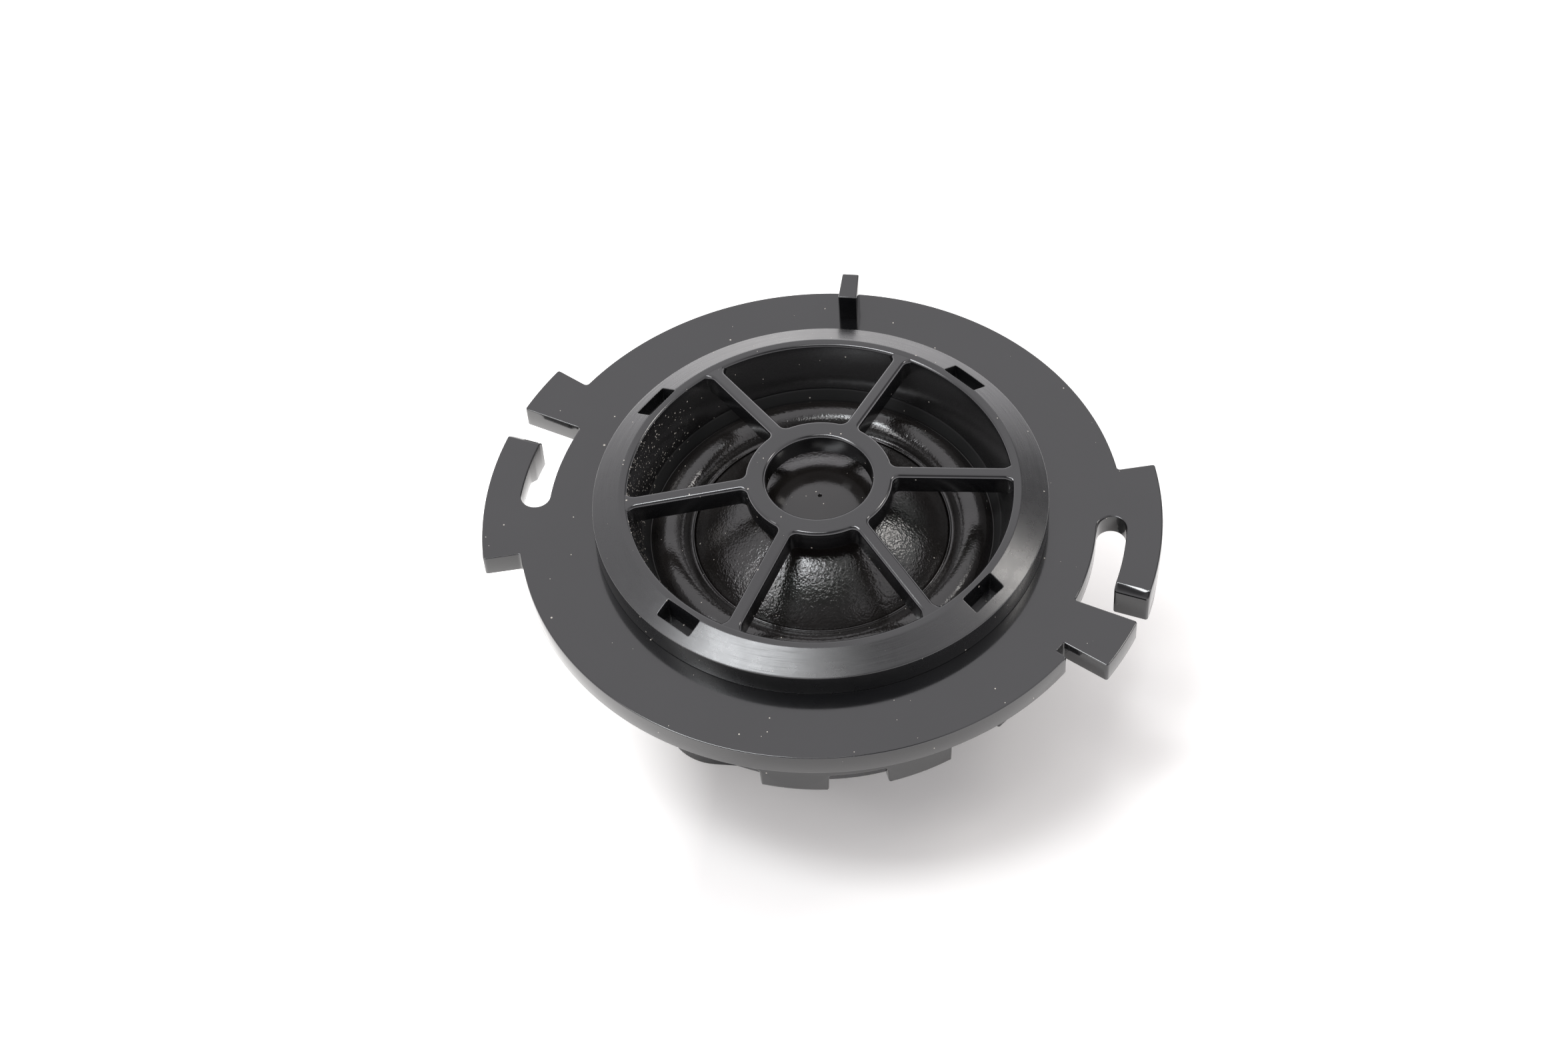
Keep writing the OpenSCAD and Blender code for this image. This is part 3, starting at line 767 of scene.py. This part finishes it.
def split_loop(li, i):
    if li == "cap":
        c = i
        rr = math.hypot(c[0], c[1])
        if rr < 24.2:
            return False
        for s, (h0, h1) in zip((0, 180), hinge_pts):
            a = (math.degrees(math.atan2(c[1], c[0])) - s + 180) % 360 - 180
            if A_TIP - 1 < a < 6:
                p, q = outer[h0], outer[h1]
                d = (q[0] - p[0]) * (c[1] - p[1]) - (q[1] - p[1]) * (c[0] - p[0])
                return d < 0
        return False
    return li == 0 and bool(arm_flag[i])


def z_top(x, y):
    z = np.zeros(len(x))
    rr = np.hypot(x, y)
    for s in (0, 180):
        d = tip_s(x, y, s)
        along = x * math.cos(math.radians(A_TIP + s)) + y * math.sin(math.radians(A_TIP + s))
        on = (rr > 24.9) & (along > 20) & (d > -0.5) & (d < 0.6)
        z = np.where(on, -(0.6 - d) * 0.92, z)
    return z


def z_bot(x, y):
    z = np.full(len(x), -T)
    rr = np.hypot(x, y)
    for s in (0, 180):
        d = tip_s(x, y, s)
        along = x * math.cos(math.radians(A_TIP + s)) + y * math.sin(math.radians(A_TIP + s))
        on = (rr > 24.9) & (along > 20) & (d > -0.5) & (d < 3.4)
        z = np.where(on, -T - 1.19 * np.clip((3.4 - d) / 1.4, 0, 1), z)
    return z


hole = np.array(arc(17.68, 0, -360, 2.0)[:-1])
lines_t, lines_b = [], []
for s in (0, 180):
    for dist, store in ((0.6, lines_t), (2.0, lines_b), (3.4, lines_b)):
        a = A_TIP + s + math.degrees(dist / 26.7)
        store.append((pol(R_ARM + 0.18, a), pol(RT - 0.18, a)))
ins = inset(outer, 0.18)
for h0, h1 in hinge_pts:
    lines_t.append((ins[h0], ins[h1]))
    lines_b.append((ins[h0], ins[h1]))
flange, arms = solid([outer, hole], z_top, z_bot, rt=0.12, rb=0.12, n=3, lt=lines_t, lb=lines_b, split=split_loop)

# key rib, a little narrower at its outer end
rib = path(
    [
        seg((-0.80, 21.9), (0.80, 21.9)),
        seg((0.80, 21.9), (0.72, 24.74)),
        seg((0.72, 24.74), (-0.72, 24.74)),
        seg((-0.72, 24.74), (-0.80, 21.9)),
    ],
    0.12,
    n=4,
)
flange.merge(solid([rib], 2.7, -0.3, rt=0.10, rb=0, n=3, caps="t", sup=0.04))

# skirt behind the flange, unrolled at its outer radius, with its lugs
SK_O, SK_I = 20.25, 19.0
W = math.radians(1) * SK_O


def skirt_outline():
    seam = -121.0
    segs, rad = [], []
    lugs = sorted(((-1 + 30 * k) - seam) % 360 for k in range(12) if k != 8)
    x = 0.0
    for c in lugs:
        a, b = c - 8.2, c + 8.2
        segs.append(seg((x * W, -9.25), (a * W, -9.25), 0.5))
        segs.append(seg((a * W, -9.25), ((a + 0.25) * W, -11.24)))
        segs.append(seg(((a + 0.25) * W, -11.24), ((b - 0.25) * W, -11.24), 0.5))
        segs.append(seg(((b - 0.25) * W, -11.24), (b * W, -9.25)))
        rad += [0.35, 0.16, 0.16, 0.35]
        x = b
    segs.append(seg((x * W, -9.25), (360 * W, -9.25), 0.5))
    segs.append(seg((360 * W, -9.25), (360 * W, -1.9)))
    segs.append(seg((360 * W, -1.9), (0, -1.9), 0.5))
    segs.append(seg((0, -1.9), (0, -9.25)))
    rad += [0, 0, 0, 0]
    return path(segs, rad, n=4), seam


sk, seam = skirt_outline()
kk = np.where((sk[:, 0] < 1e-6) | (sk[:, 0] > 360 * W - 1e-6) | (sk[:, 1] > -1.91), 0.0, 1.0)
edge_seam = (np.abs(sk[:, 0]) < 1e-6) | (np.abs(sk[:, 0] - 360 * W) < 1e-6)


def skirt_map(v):
    th = v[:, 0] / SK_O + math.radians(seam)
    r = SK_I + v[:, 2]
    return np.stack([r * np.cos(th), r * np.sin(th), v[:, 1]], 1)


flange.merge(solid([sk], SK_O - SK_I, 0.0, rt=0.22, rb=0.12, n=3, kk=[kk], fmap=skirt_map))
# inward barbs of the lugs
for k in range(12):
    if k == 8:
        continue
    barb = rounded(
        [(19.05, -10.25), (18.42, -10.25), (18.42, -10.7), (18.9, -11.2), (19.05, -11.2)],
        [0, 0.08, 0.2, 0.05, 0],
        3,
    )
    flange.merge(lathe(barb, 10, a0=-1 + 30 * k - 7.6, a1=-1 + 30 * k + 7.6))

o_flange = build("mounting_flange_body", flange, M_FLANGE)
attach(o_flange, "root")
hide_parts("mounting_flange")

arm_v = arms.arrays()
for name, s, body, node in (("latch_arm_r", 0, "latch_right", "latch_arm_right"), ("latch_arm_l", 180, "latch_left", "latch_arm_left")):
    pick = (arm_v[:, 0] > 0) if s == 0 else (arm_v[:, 0] < 0)
    idx = {int(o): i for i, o in enumerate(np.nonzero(pick)[0])}
    part = Mesh().add(arm_v[pick], [tuple(idx[i] for i in f) for f in arms.f if all(i in idx for i in f)])
    o = build(name, part, M_ARM)
    a = math.radians(A_HINGE - 0.6 + s)
    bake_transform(o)
    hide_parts(node)

# ------------------------------------------------------------------ grille
SL = (3.1 - 2.05) / (18.8 - 16.5)


def bevel_z(x, y):
    r = np.hypot(x, y)
    d = r - 16.5
    w = 0.09
    z = np.where(d <= -w, 3.1, np.where(d >= w, 3.1 - SL * d, 3.1 - SL * (d + w) ** 2 / (4 * w)))
    return z


NL = 360


def circle(r, n=NL, cw=False):
    a = np.radians(np.arange(n) * 360.0 / n)
    p = np.stack([r * np.cos(a), r * np.sin(a)], 1)
    return p[::-1] if cw else p


HOOKS = [50.7, 149.8, 235.3, 325.8]
wins = []
for a in HOOKS:
    w = path(
        [
            seg((16.42, 1.72), (17.85, 1.72), 0.4),
            seg((17.85, 1.72), (17.85, -1.72), 0.4),
            seg((17.85, -1.72), (16.42, -1.72), 0.4),
            seg((16.42, -1.72), (16.42, 1.72), 0.4),
        ],
        0.12,
        n=4,
    )
    wins.append(np.array([pol(math.hypot(*p), math.degrees(math.atan2(p[1], p[0])) + a) for p in w]))
RI, RO = 16.21, 18.66
extra = [circle(r, 480) for r in (16.29, 16.38, 16.44, 16.48, 16.52, 16.56, 16.62, 16.75, 17.0, 17.3, 17.6, 17.9, 18.2, 18.5)]
extra = np.concatenate(extra)
near = np.full(len(extra), 9.0)
for w in wins:
    d = np.sqrt(((extra[:, None, :] - inset(w, 0.09)[None]) ** 2).sum(2)).min(1)
    near = np.minimum(near, d)
extra = extra[near > 0.10]
grille = Mesh()
WR = 0.05
full, tri = cap([circle(RO), circle(RI, cw=True)] + [inset(w, WR + 0.03) for w in wins], extra)
grille.add(np.c_[full, bevel_z(full[:, 0], full[:, 1])], tri)
for w in wins:
    V, F = [], []
    lev = [(WR + 0.03, 0.0)] + [
        (WR * (1 - math.sin(math.pi / 2 * k / 3)), -WR * (1 - math.cos(math.pi / 2 * k / 3))) for k in range(4)
    ]
    for d, dz in lev:
        q = inset(w, d)
        V.append(np.c_[q, bevel_z(q[:, 0], q[:, 1]) + dz])
    q = inset(w, 0.0)
    V.append(np.c_[q, np.full(len(q), 1.12)])
    q = inset(w, -0.06)
    V.append(np.c_[q, np.full(len(q), 1.04)])
    m = len(w)
    for k in range(len(V) - 1):
        for i in range(m):
            j = (i + 1) % m
            F.append(((k + 1) * m + i, (k + 1) * m + j, k * m + j, k * m + i))
    F.append(tuple((len(V) - 1) * m + i for i in range(m))[::-1])
    grille.add(np.concatenate(V), F)
zo = float(bevel_z(np.array([RO]), np.array([0.0]))[0])
prof = rounded([(RO, zo), (18.8, 2.05), (18.8, 0.03), (18.72, 0.005), (17.7, 0.005), (17.7, 1.0)], [0, 0.10, 0.06, 0, 0, 0], 4)
grille.merge(lathe(prof, NL))
prof = rounded(
    [(16.2, 1.9), (16.2, -1.3), (14.9, -1.3), (15.86, 3.1), (RI, 3.1)], [0, 0.05, 0.04, 0.33, 0], 8
)
grille.merge(lathe(prof, NL))

# hub ring and spokes as one web, with fillets at the hub and at the ring
SP_A, SP_W = 10.3, 0.60
HUB_O, HUB_I = 6.1, 4.375


def web_outline():
    segs, rad = [], []
    R1 = 15.84
    for k in range(6):
        a = SP_A + 60 * k

        def P(x, y):
            t = math.radians(a)
            return (x * math.cos(t) - y * math.sin(t), x * math.sin(t) + y * math.cos(t))

        x0 = math.sqrt(HUB_O**2 - SP_W**2)
        x1 = math.sqrt(R1**2 - SP_W**2)
        d0 = math.degrees(math.asin(SP_W / HUB_O))
        d1 = math.degrees(math.asin(SP_W / R1))
        fl = 4.2  # degrees of ring that the flare joins
        segs.append(seg(P(x0, -SP_W), P(x1, -SP_W), 0.6))
        rad.append(0.7)
        segs.append(arc(R1, a - d1, a - d1 - fl, 0.8))
        rad.append(0)
        segs.append(seg(pol(R1, a - d1 - fl), pol(16.05, a - d1 - fl)))
        rad.append(0)
        segs.append(arc(16.05, a - d1 - fl, a + d1 + fl, 1.0))
        rad.append(0)
        segs.append(seg(pol(16.05, a + d1 + fl), pol(R1, a + d1 + fl)))
        rad.append(0)
        segs.append(arc(R1, a + d1 + fl, a + d1, 0.8))
        rad.append(0.7)
        segs.append(seg(P(x1, SP_W), P(x0, SP_W), 0.6))
        rad.append(0.55)
        segs.append(arc(HUB_O, a + d0, a + 60 - d0, 1.5))
        rad.append(0.55)
    return path(segs, rad, n=6)


web = web_outline()


def web_top(x, y):
    r = np.hypot(x, y)
    t = np.clip((r - 6.3) / (15.9 - 6.3), 0, 1.1)
    soft = np.where(r < 6.9, (np.clip(r - 5.7, 0, 1.2) ** 2) / 2.4 / 9.6, t)
    z = 4.45 - soft * (4.45 - 3.095)
    # beside a spoke the end of the web follows the ring's rounded edge
    d = (np.degrees(np.arctan2(y, x)) - SP_A + 30.0) % 60.0 - 30.0
    w = np.clip((np.abs(np.radians(d)) * r - 0.62) / 0.5, 0, 1)
    edge = 3.1 - 0.34 + np.sqrt(np.clip(0.34**2 - np.clip(16.20 - r, 0, 0.34) ** 2, 0, None)) - 0.004
    return np.where(r > 15.82, np.minimum(z, (1 - w) * z + w * edge), z)


def web_bot(x, y):
    r = np.hypot(x, y)
    t = np.clip((r - 6.3) / (15.9 - 6.3), 0, 1.1)
    return 2.45 - t * (4.45 - 3.095)


hub_hole = circle(HUB_I, 160, cw=True)
wk = np.where(np.hypot(web[:, 0], web[:, 1]) > 15.83, 0.0, 1.0)
rr_pts = []
for k in range(6):
    t = math.radians(SP_A + 60 * k)
    for x in np.arange(6.4, 16.0, 0.5):
        for y in (-0.2, 0.2):
            rr_pts.append((x * math.cos(t) - y * math.sin(t), x * math.sin(t) + y * math.cos(t)))
rr_pts = np.concatenate([np.array(rr_pts), circle(4.9, 120), circle(5.4, 120)])
grille.merge(solid([web, hub_hole], web_top, web_bot, rt=0.34, rb=0.12, n=7, kk=[wk, None], pt=rr_pts, pb=rr_pts, sup=0.05))

# snap hooks behind the windows
for a in [50.5, 150, 235, 326]:
    hk = path(
        [
            seg((16.0, 0.98), (17.35, 0.98)), seg((17.35, 0.98), (17.35, -2.05)), seg((17.35, -2.05), (18.18, -2.05)),
            seg((18.18, -2.05), (17.7, -2.73)), seg((17.7, -2.73), (16.37, -2.73)), seg((16.37, -2.73), (16.37, -1.2)),
            seg((16.37, -1.2), (16.0, -1.2)), seg((16.0, -1.2), (16.0, 0.98)),
        ][::-1] and [
            seg((16.0, 0.98), (16.0, -1.2)), seg((16.0, -1.2), (16.37, -1.2)), seg((16.37, -1.2), (16.37, -2.73)),
            seg((16.37, -2.73), (17.7, -2.73)), seg((17.7, -2.73), (18.18, -2.05)), seg((18.18, -2.05), (17.35, -2.05)),
            seg((17.35, -2.05), (17.35, 0.98)), seg((17.35, 0.98), (16.0, 0.98)),
        ],
        0.06,
        n=2,
    )
    t = math.radians(a)

    def hook_map(v, t=t):
        x, y, z = v[:, 0], -v[:, 2], v[:, 1]
        return np.stack([x * math.cos(t) - y * math.sin(t), x * math.sin(t) + y * math.cos(t), z], 1)

    grille.merge(solid([hk], 1.6, -1.6, rt=0.05, rb=0.05, n=2, fmap=hook_map, sup=0.02))

o_grille = build("grille_body", grille, M_GRILLE)
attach(o_grille, "root")
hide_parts("grille")

# ------------------------------------------------------------------ dome and surround
DR, DH, RIM = 10.6, 4.5, -2.44
DRR = (DR**2 + DH**2) / (2 * DH)
CZ = DH + RIM - DRR
a1 = math.asin(DR / DRR)
pts = [(0.0, CZ + DRR - 0.24), (0.10, CZ + DRR - 0.24), (0.135, CZ + DRR - 0.16), (0.15, CZ + DRR - 0.03), (0.185, CZ + DRR)]
pts += [(DRR * math.sin(a), CZ + DRR * math.cos(a)) for a in np.linspace(0.016, a1 - 0.012, 60)]
pts += [(10.54, RIM + 0.03), (10.585, RIM - 0.05), (10.59, -2.95), (10.52, -2.995), (10.36, -2.995), (10.35, -2.62), (10.05, -2.58)]
pts += [((DRR - 0.3) * math.sin(a), CZ + (DRR - 0.3) * math.cos(a)) for a in np.linspace(math.asin(10.0 / (DRR - 0.3)), 0.0, 30)]
pts[-1] = (0.0, pts[-1][1])
dome = lathe(pts, 256)
o_dome = build("dome_body", dome, M_DOME, angle=50)
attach(o_dome, "diaphragm")
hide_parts("dome")

# surround: bead at the dome's joint, half roll, foot
ROLL0, ROLL1, ROLLH = 11.02, 14.24, 1.05
rm, rw = (ROLL0 + ROLL1) / 2, (ROLL1 - ROLL0) / 2
foot = -2.35
RR = (rw**2 + ROLLH**2) / (2 * ROLLH)
cz = foot + ROLLH - RR
sa_ = math.asin(min(1, rw / RR))
up = [(rm + RR * math.sin(a), cz + RR * math.cos(a)) for a in np.linspace(-sa_, sa_, 36)]
dn = [(rm + (RR - 0.26) * math.sin(a), cz + (RR - 0.26) * math.cos(a)) for a in np.linspace(sa_ * 0.97, -sa_ * 0.97, 30)]
prof = rounded(
    [(10.63, -2.62), (10.63, -2.34), (10.69, -2.29), (10.76, -2.34), (10.80, foot - 0.06), (10.90, foot - 0.03)],
    [0, 0.05, 0.05, 0.05, 0.03, 0],
    3,
)
prof = list(map(tuple, prof)) + up[0:] + [(14.29, foot), (15.2, foot), (16.28, foot), (16.28, -2.59), (14.2, -2.59)] + dn + [(10.9, -2.62)]
surround = lathe(prof[::-1][::-1], 256, closed=True)
o_sur = build("surround_body", surround, M_SURROUND, angle=60)
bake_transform(o_sur)
co = np.array([v.co for v in o_sur.data.vertices], float)
rad = np.hypot(co[:, 0], co[:, 1]) / MM
t = np.clip((13.8 - rad) / (13.8 - 11.0), 0, 1)
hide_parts("surround")

clamp = lathe(rounded([(14.3, -2.34), (14.36, -2.2), (14.86, -1.37), (16.28, -1.37), (16.28, -2.34)], [0.02, 0.3, 0.2, 0.05, 0.05], 4, closed=True)[::-1], 240, closed=True)
o_clamp = build("clamp_ring_body", clamp, M_CLAMP)
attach(o_clamp, "root")
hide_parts("diaphragm_clamp_ring")

# ------------------------------------------------------------------ materials of the CAD nodes that show as they are
SHOW = {
    "coil_former": M_KAPTON,
    "voice_coil": M_COPPER,
    "lead_out_positive": M_COPPER,
    "lead_out_negative": M_COPPER,
    "damping_pad": M_FELT,
    "top_plate": M_STEEL,
    "magnet": M_NICKEL,
    "yoke_cup": M_STEEL,
    "driver_chassis": M_CHASSIS,
    "solder_tab_positive": M_BRASS,
    "solder_tab_negative": M_BRASS,
    "hookup_wire_positive": M_WIRE_R,
    "hookup_wire_negative": M_WIRE_B,
    "rear_foam_pad": M_FOAM,
    "terminal_board": M_BOARD,
    "contact_blade_positive": M_TIN,
    "contact_blade_negative": M_TIN,
    "capacitor": M_CAP,
    "capacitor_leads": M_TIN,
    "solder_joints": M_SOLDER,
    "rear_cover": M_COVER,
}
for name, mat in SHOW.items():
    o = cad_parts[name]
    o.data.materials.clear()
    o.data.materials.append(mat)

# rounded edges on the moulded rear pieces
for name, w in (("rear_cover", 0.28), ("capacitor", 0.25), ("terminal_board", 0.06), ("contact_blade_positive", 0.08), ("contact_blade_negative", 0.08)):
    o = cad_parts[name]
    m = o.modifiers.new("weld", "WELD")
    m.merge_threshold = 0.000002
    m = o.modifiers.new("edges", "BEVEL")
    m.width = w * MM
    m.segments = 3
    m.limit_method = "ANGLE"
    m.angle_limit = math.radians(40)
    m.harden_normals = True

# ------------------------------------------------------------------ stage
floor = bpy.data.meshes.new("floor")
floor.from_pydata([(-3, -3, -0.00002), (3, -3, -0.00002), (3, 3, -0.00002), (-3, 3, -0.00002)], [], [(0, 1, 2, 3)])
o_floor = bpy.data.objects.new("floor", floor)
bpy.context.scene.collection.objects.link(o_floor)
nf = Nodes("floor_paper")
nf.set(base=(0.90, 0.885, 0.865), rough=0.9, ior=1.3, normal=nf.bump(nf.noise(900, 3), 0.1, 0.0001))
fx, fy, fz = nf.xyz()
# painted light: the floor paper itself glows. The glow is strongest to the left of the part, weaker far to the right
# and behind it, and faint near the part and everywhere else, so the patch just right of the part stays in shadow
lit = nf.math("ADD", nf.math("MULTIPLY", nf.ramp(fx, -0.008, -0.036), 1.1), nf.math("MULTIPLY", nf.ramp(fx, 0.024, 0.056), 0.5))
lit = nf.math("ADD", nf.math("ADD", lit, 0.07), nf.math("MULTIPLY", nf.ramp(fy, 0.0, 0.03), 0.5))
nf.link(lit, nf.bsdf.inputs["Emission Strength"])
nf.bsdf.inputs["Emission Color"].default_value = (1.0, 0.99, 0.97, 1.0)
# seen from below the floor is clear, so the rear can be looked at
clear = nf.new("ShaderNodeBsdfTransparent")
pick = nf.new("ShaderNodeMixShader")
nf.link(nf.new("ShaderNodeNewGeometry").outputs["Backfacing"], pick.inputs[0])
nf.link(nf.bsdf.outputs[0], pick.inputs[1])
nf.link(clear.outputs[0], pick.inputs[2])
nf.link(pick.outputs[0], nf.t.nodes["Material Output"].inputs["Surface"])
floor.materials.append(nf.mat)

world = bpy.data.worlds.new("studio")
bpy.context.scene.world = world
bpy.context.scene.view_settings.view_transform = "Standard"
world.use_nodes = True
wt = world.node_tree
w_dir = wt.nodes.new("ShaderNodeTexCoord").outputs["Generated"]


def w_math(op, p, q=None):
    n = wt.nodes.new("ShaderNodeMath")
    n.operation = op
    for i, x in enumerate((p, q)):
        if isinstance(x, (int, float)):
            n.inputs[i].default_value = x
        elif x is not None:
            wt.links.new(x, n.inputs[i])
    return n.outputs[0]


def w_lobe(az, el, inner, outer):
    """1 within inner degrees of a direction, falling to 0 at outer degrees."""
    v = (
        math.sin(math.radians(az)) * math.cos(math.radians(el)),
        -math.cos(math.radians(az)) * math.cos(math.radians(el)),
        math.sin(math.radians(el)),
    )
    d = wt.nodes.new("ShaderNodeVectorMath")
    d.operation = "DOT_PRODUCT"
    wt.links.new(w_dir, d.inputs[0])
    d.inputs[1].default_value = v
    m = wt.nodes.new("ShaderNodeMapRange")
    m.interpolation_type = "SMOOTHSTEP"
    m.clamp = True
    wt.links.new(d.outputs["Value"], m.inputs[0])
    m.inputs[1].default_value = math.cos(math.radians(outer))
    m.inputs[2].default_value = math.cos(math.radians(inner))
    m.inputs[3].default_value, m.inputs[4].default_value = 0.0, 1.0
    return m.outputs[0]


# a soft white room: bright near the horizon, dimmer at the right and where the photographer stands
sep = wt.nodes.new("ShaderNodeSeparateXYZ")
wt.links.new(w_dir, sep.inputs[0])
hz = wt.nodes.new("ShaderNodeMapRange")
hz.interpolation_type = "SMOOTHSTEP"
hz.clamp = True
wt.links.new(sep.outputs[2], hz.inputs[0])
hz.inputs[1].default_value, hz.inputs[2].default_value = 0.02, 0.33
hz.inputs[3].default_value, hz.inputs[4].default_value = 1.45, 0.0
glow = w_math("MULTIPLY", w_lobe(-175, 50, 14, 60), 0.26)
right = w_math("MULTIPLY", w_lobe(141, 35, 5, 22), -0.80)
front = w_math("MULTIPLY", w_lobe(8, 57, 16, 34), -0.74)
total = w_math("ADD", w_math("ADD", w_math("ADD", 0.93, glow), right), w_math("ADD", front, hz.outputs[0]))
wt.links.new(total, wt.nodes["Background"].inputs["Strength"])
wt.nodes["Background"].inputs["Color"].default_value = (0.985, 0.968, 1.0, 1.0)


def softbox(name, direction, dist, size, radiance, colour=(1, 1, 1), at=(0, 0, 0.02), turn=0.0):
    """An area light that the object sees in that direction; its width runs level, turned by turn degrees."""
    d = Vector(direction).normalized()
    right = Vector((0, 1, 0)).cross(d) if d.z > 0.8 else Vector((0, 0, 1)).cross(d)
    right.normalize()
    up = d.cross(right)
    t = math.radians(turn)
    rx = right * math.cos(t) + up * math.sin(t)
    ry = d.cross(rx)
    light = bpy.data.lights.new(name, "AREA")
    light.shape = "RECTANGLE"
    light.size, light.size_y = size
    light.energy = radiance * math.pi * size[0] * size[1]
    light.color = colour
    o = bpy.data.objects.new(name, light)
    mt = Matrix.Identity(4)
    where = Vector(at) + d * dist
    for i in range(3):
        mt[i][0], mt[i][1], mt[i][2], mt[i][3] = rx[i], ry[i], d[i], where[i]
    o.matrix_world = mt
    bpy.context.scene.collection.objects.link(o)
    o.visible_camera = False
    return o


softbox("overhead", (-0.31, -0.17, 0.93), 0.7, (0.29, 0.14), 15.0, colour=(0.95, 0.975, 1.0))
softbox("top", (0.0, -0.31, 0.95), 0.7, (0.16, 0.10), 5.0)
softbox("front_left", (-0.59, -0.34, 0.73), 0.7, (0.20, 0.20), 4.5)
softbox("right_back", (0.61, 0.33, 0.72), 0.8, (0.16, 0.14), 10.0, colour=(1.0, 0.97, 0.93))

# ------------------------------------------------------------------ camera
EL, AZ, ROLL, DIST, OX, OY = 50.3038, 9.9267, -4.1921, 10.2485, -0.122, -0.037
e, a, r = math.radians(EL), math.radians(AZ), math.radians(ROLL)
back = Vector((math.sin(a) * math.cos(e), -math.cos(a) * math.cos(e), math.sin(e)))
cx = Vector((0, 0, 1)).cross(back).normalized()
cy = back.cross(cx)
x2 = cx * math.cos(r) + cy * math.sin(r)
y2 = -cx * math.sin(r) + cy * math.cos(r)
cam = bpy.data.cameras.new("camera")
cam.lens, cam.sensor_width, cam.sensor_fit = 71.10, 36.0, "HORIZONTAL"
cam.clip_start, cam.clip_end = 0.01, 20.0
o_cam = bpy.data.objects.new("camera", cam)
m = Matrix.Identity(4)
loc = (back * DIST + x2 * OX + y2 * OY) * 0.025 + Vector((0, 0, Z0 * MM))
for i in range(3):
    m[i][0], m[i][1], m[i][2], m[i][3] = x2[i], y2[i], back[i], loc[i]
o_cam.matrix_world = m
bpy.context.scene.collection.objects.link(o_cam)
bpy.context.scene.camera = o_cam
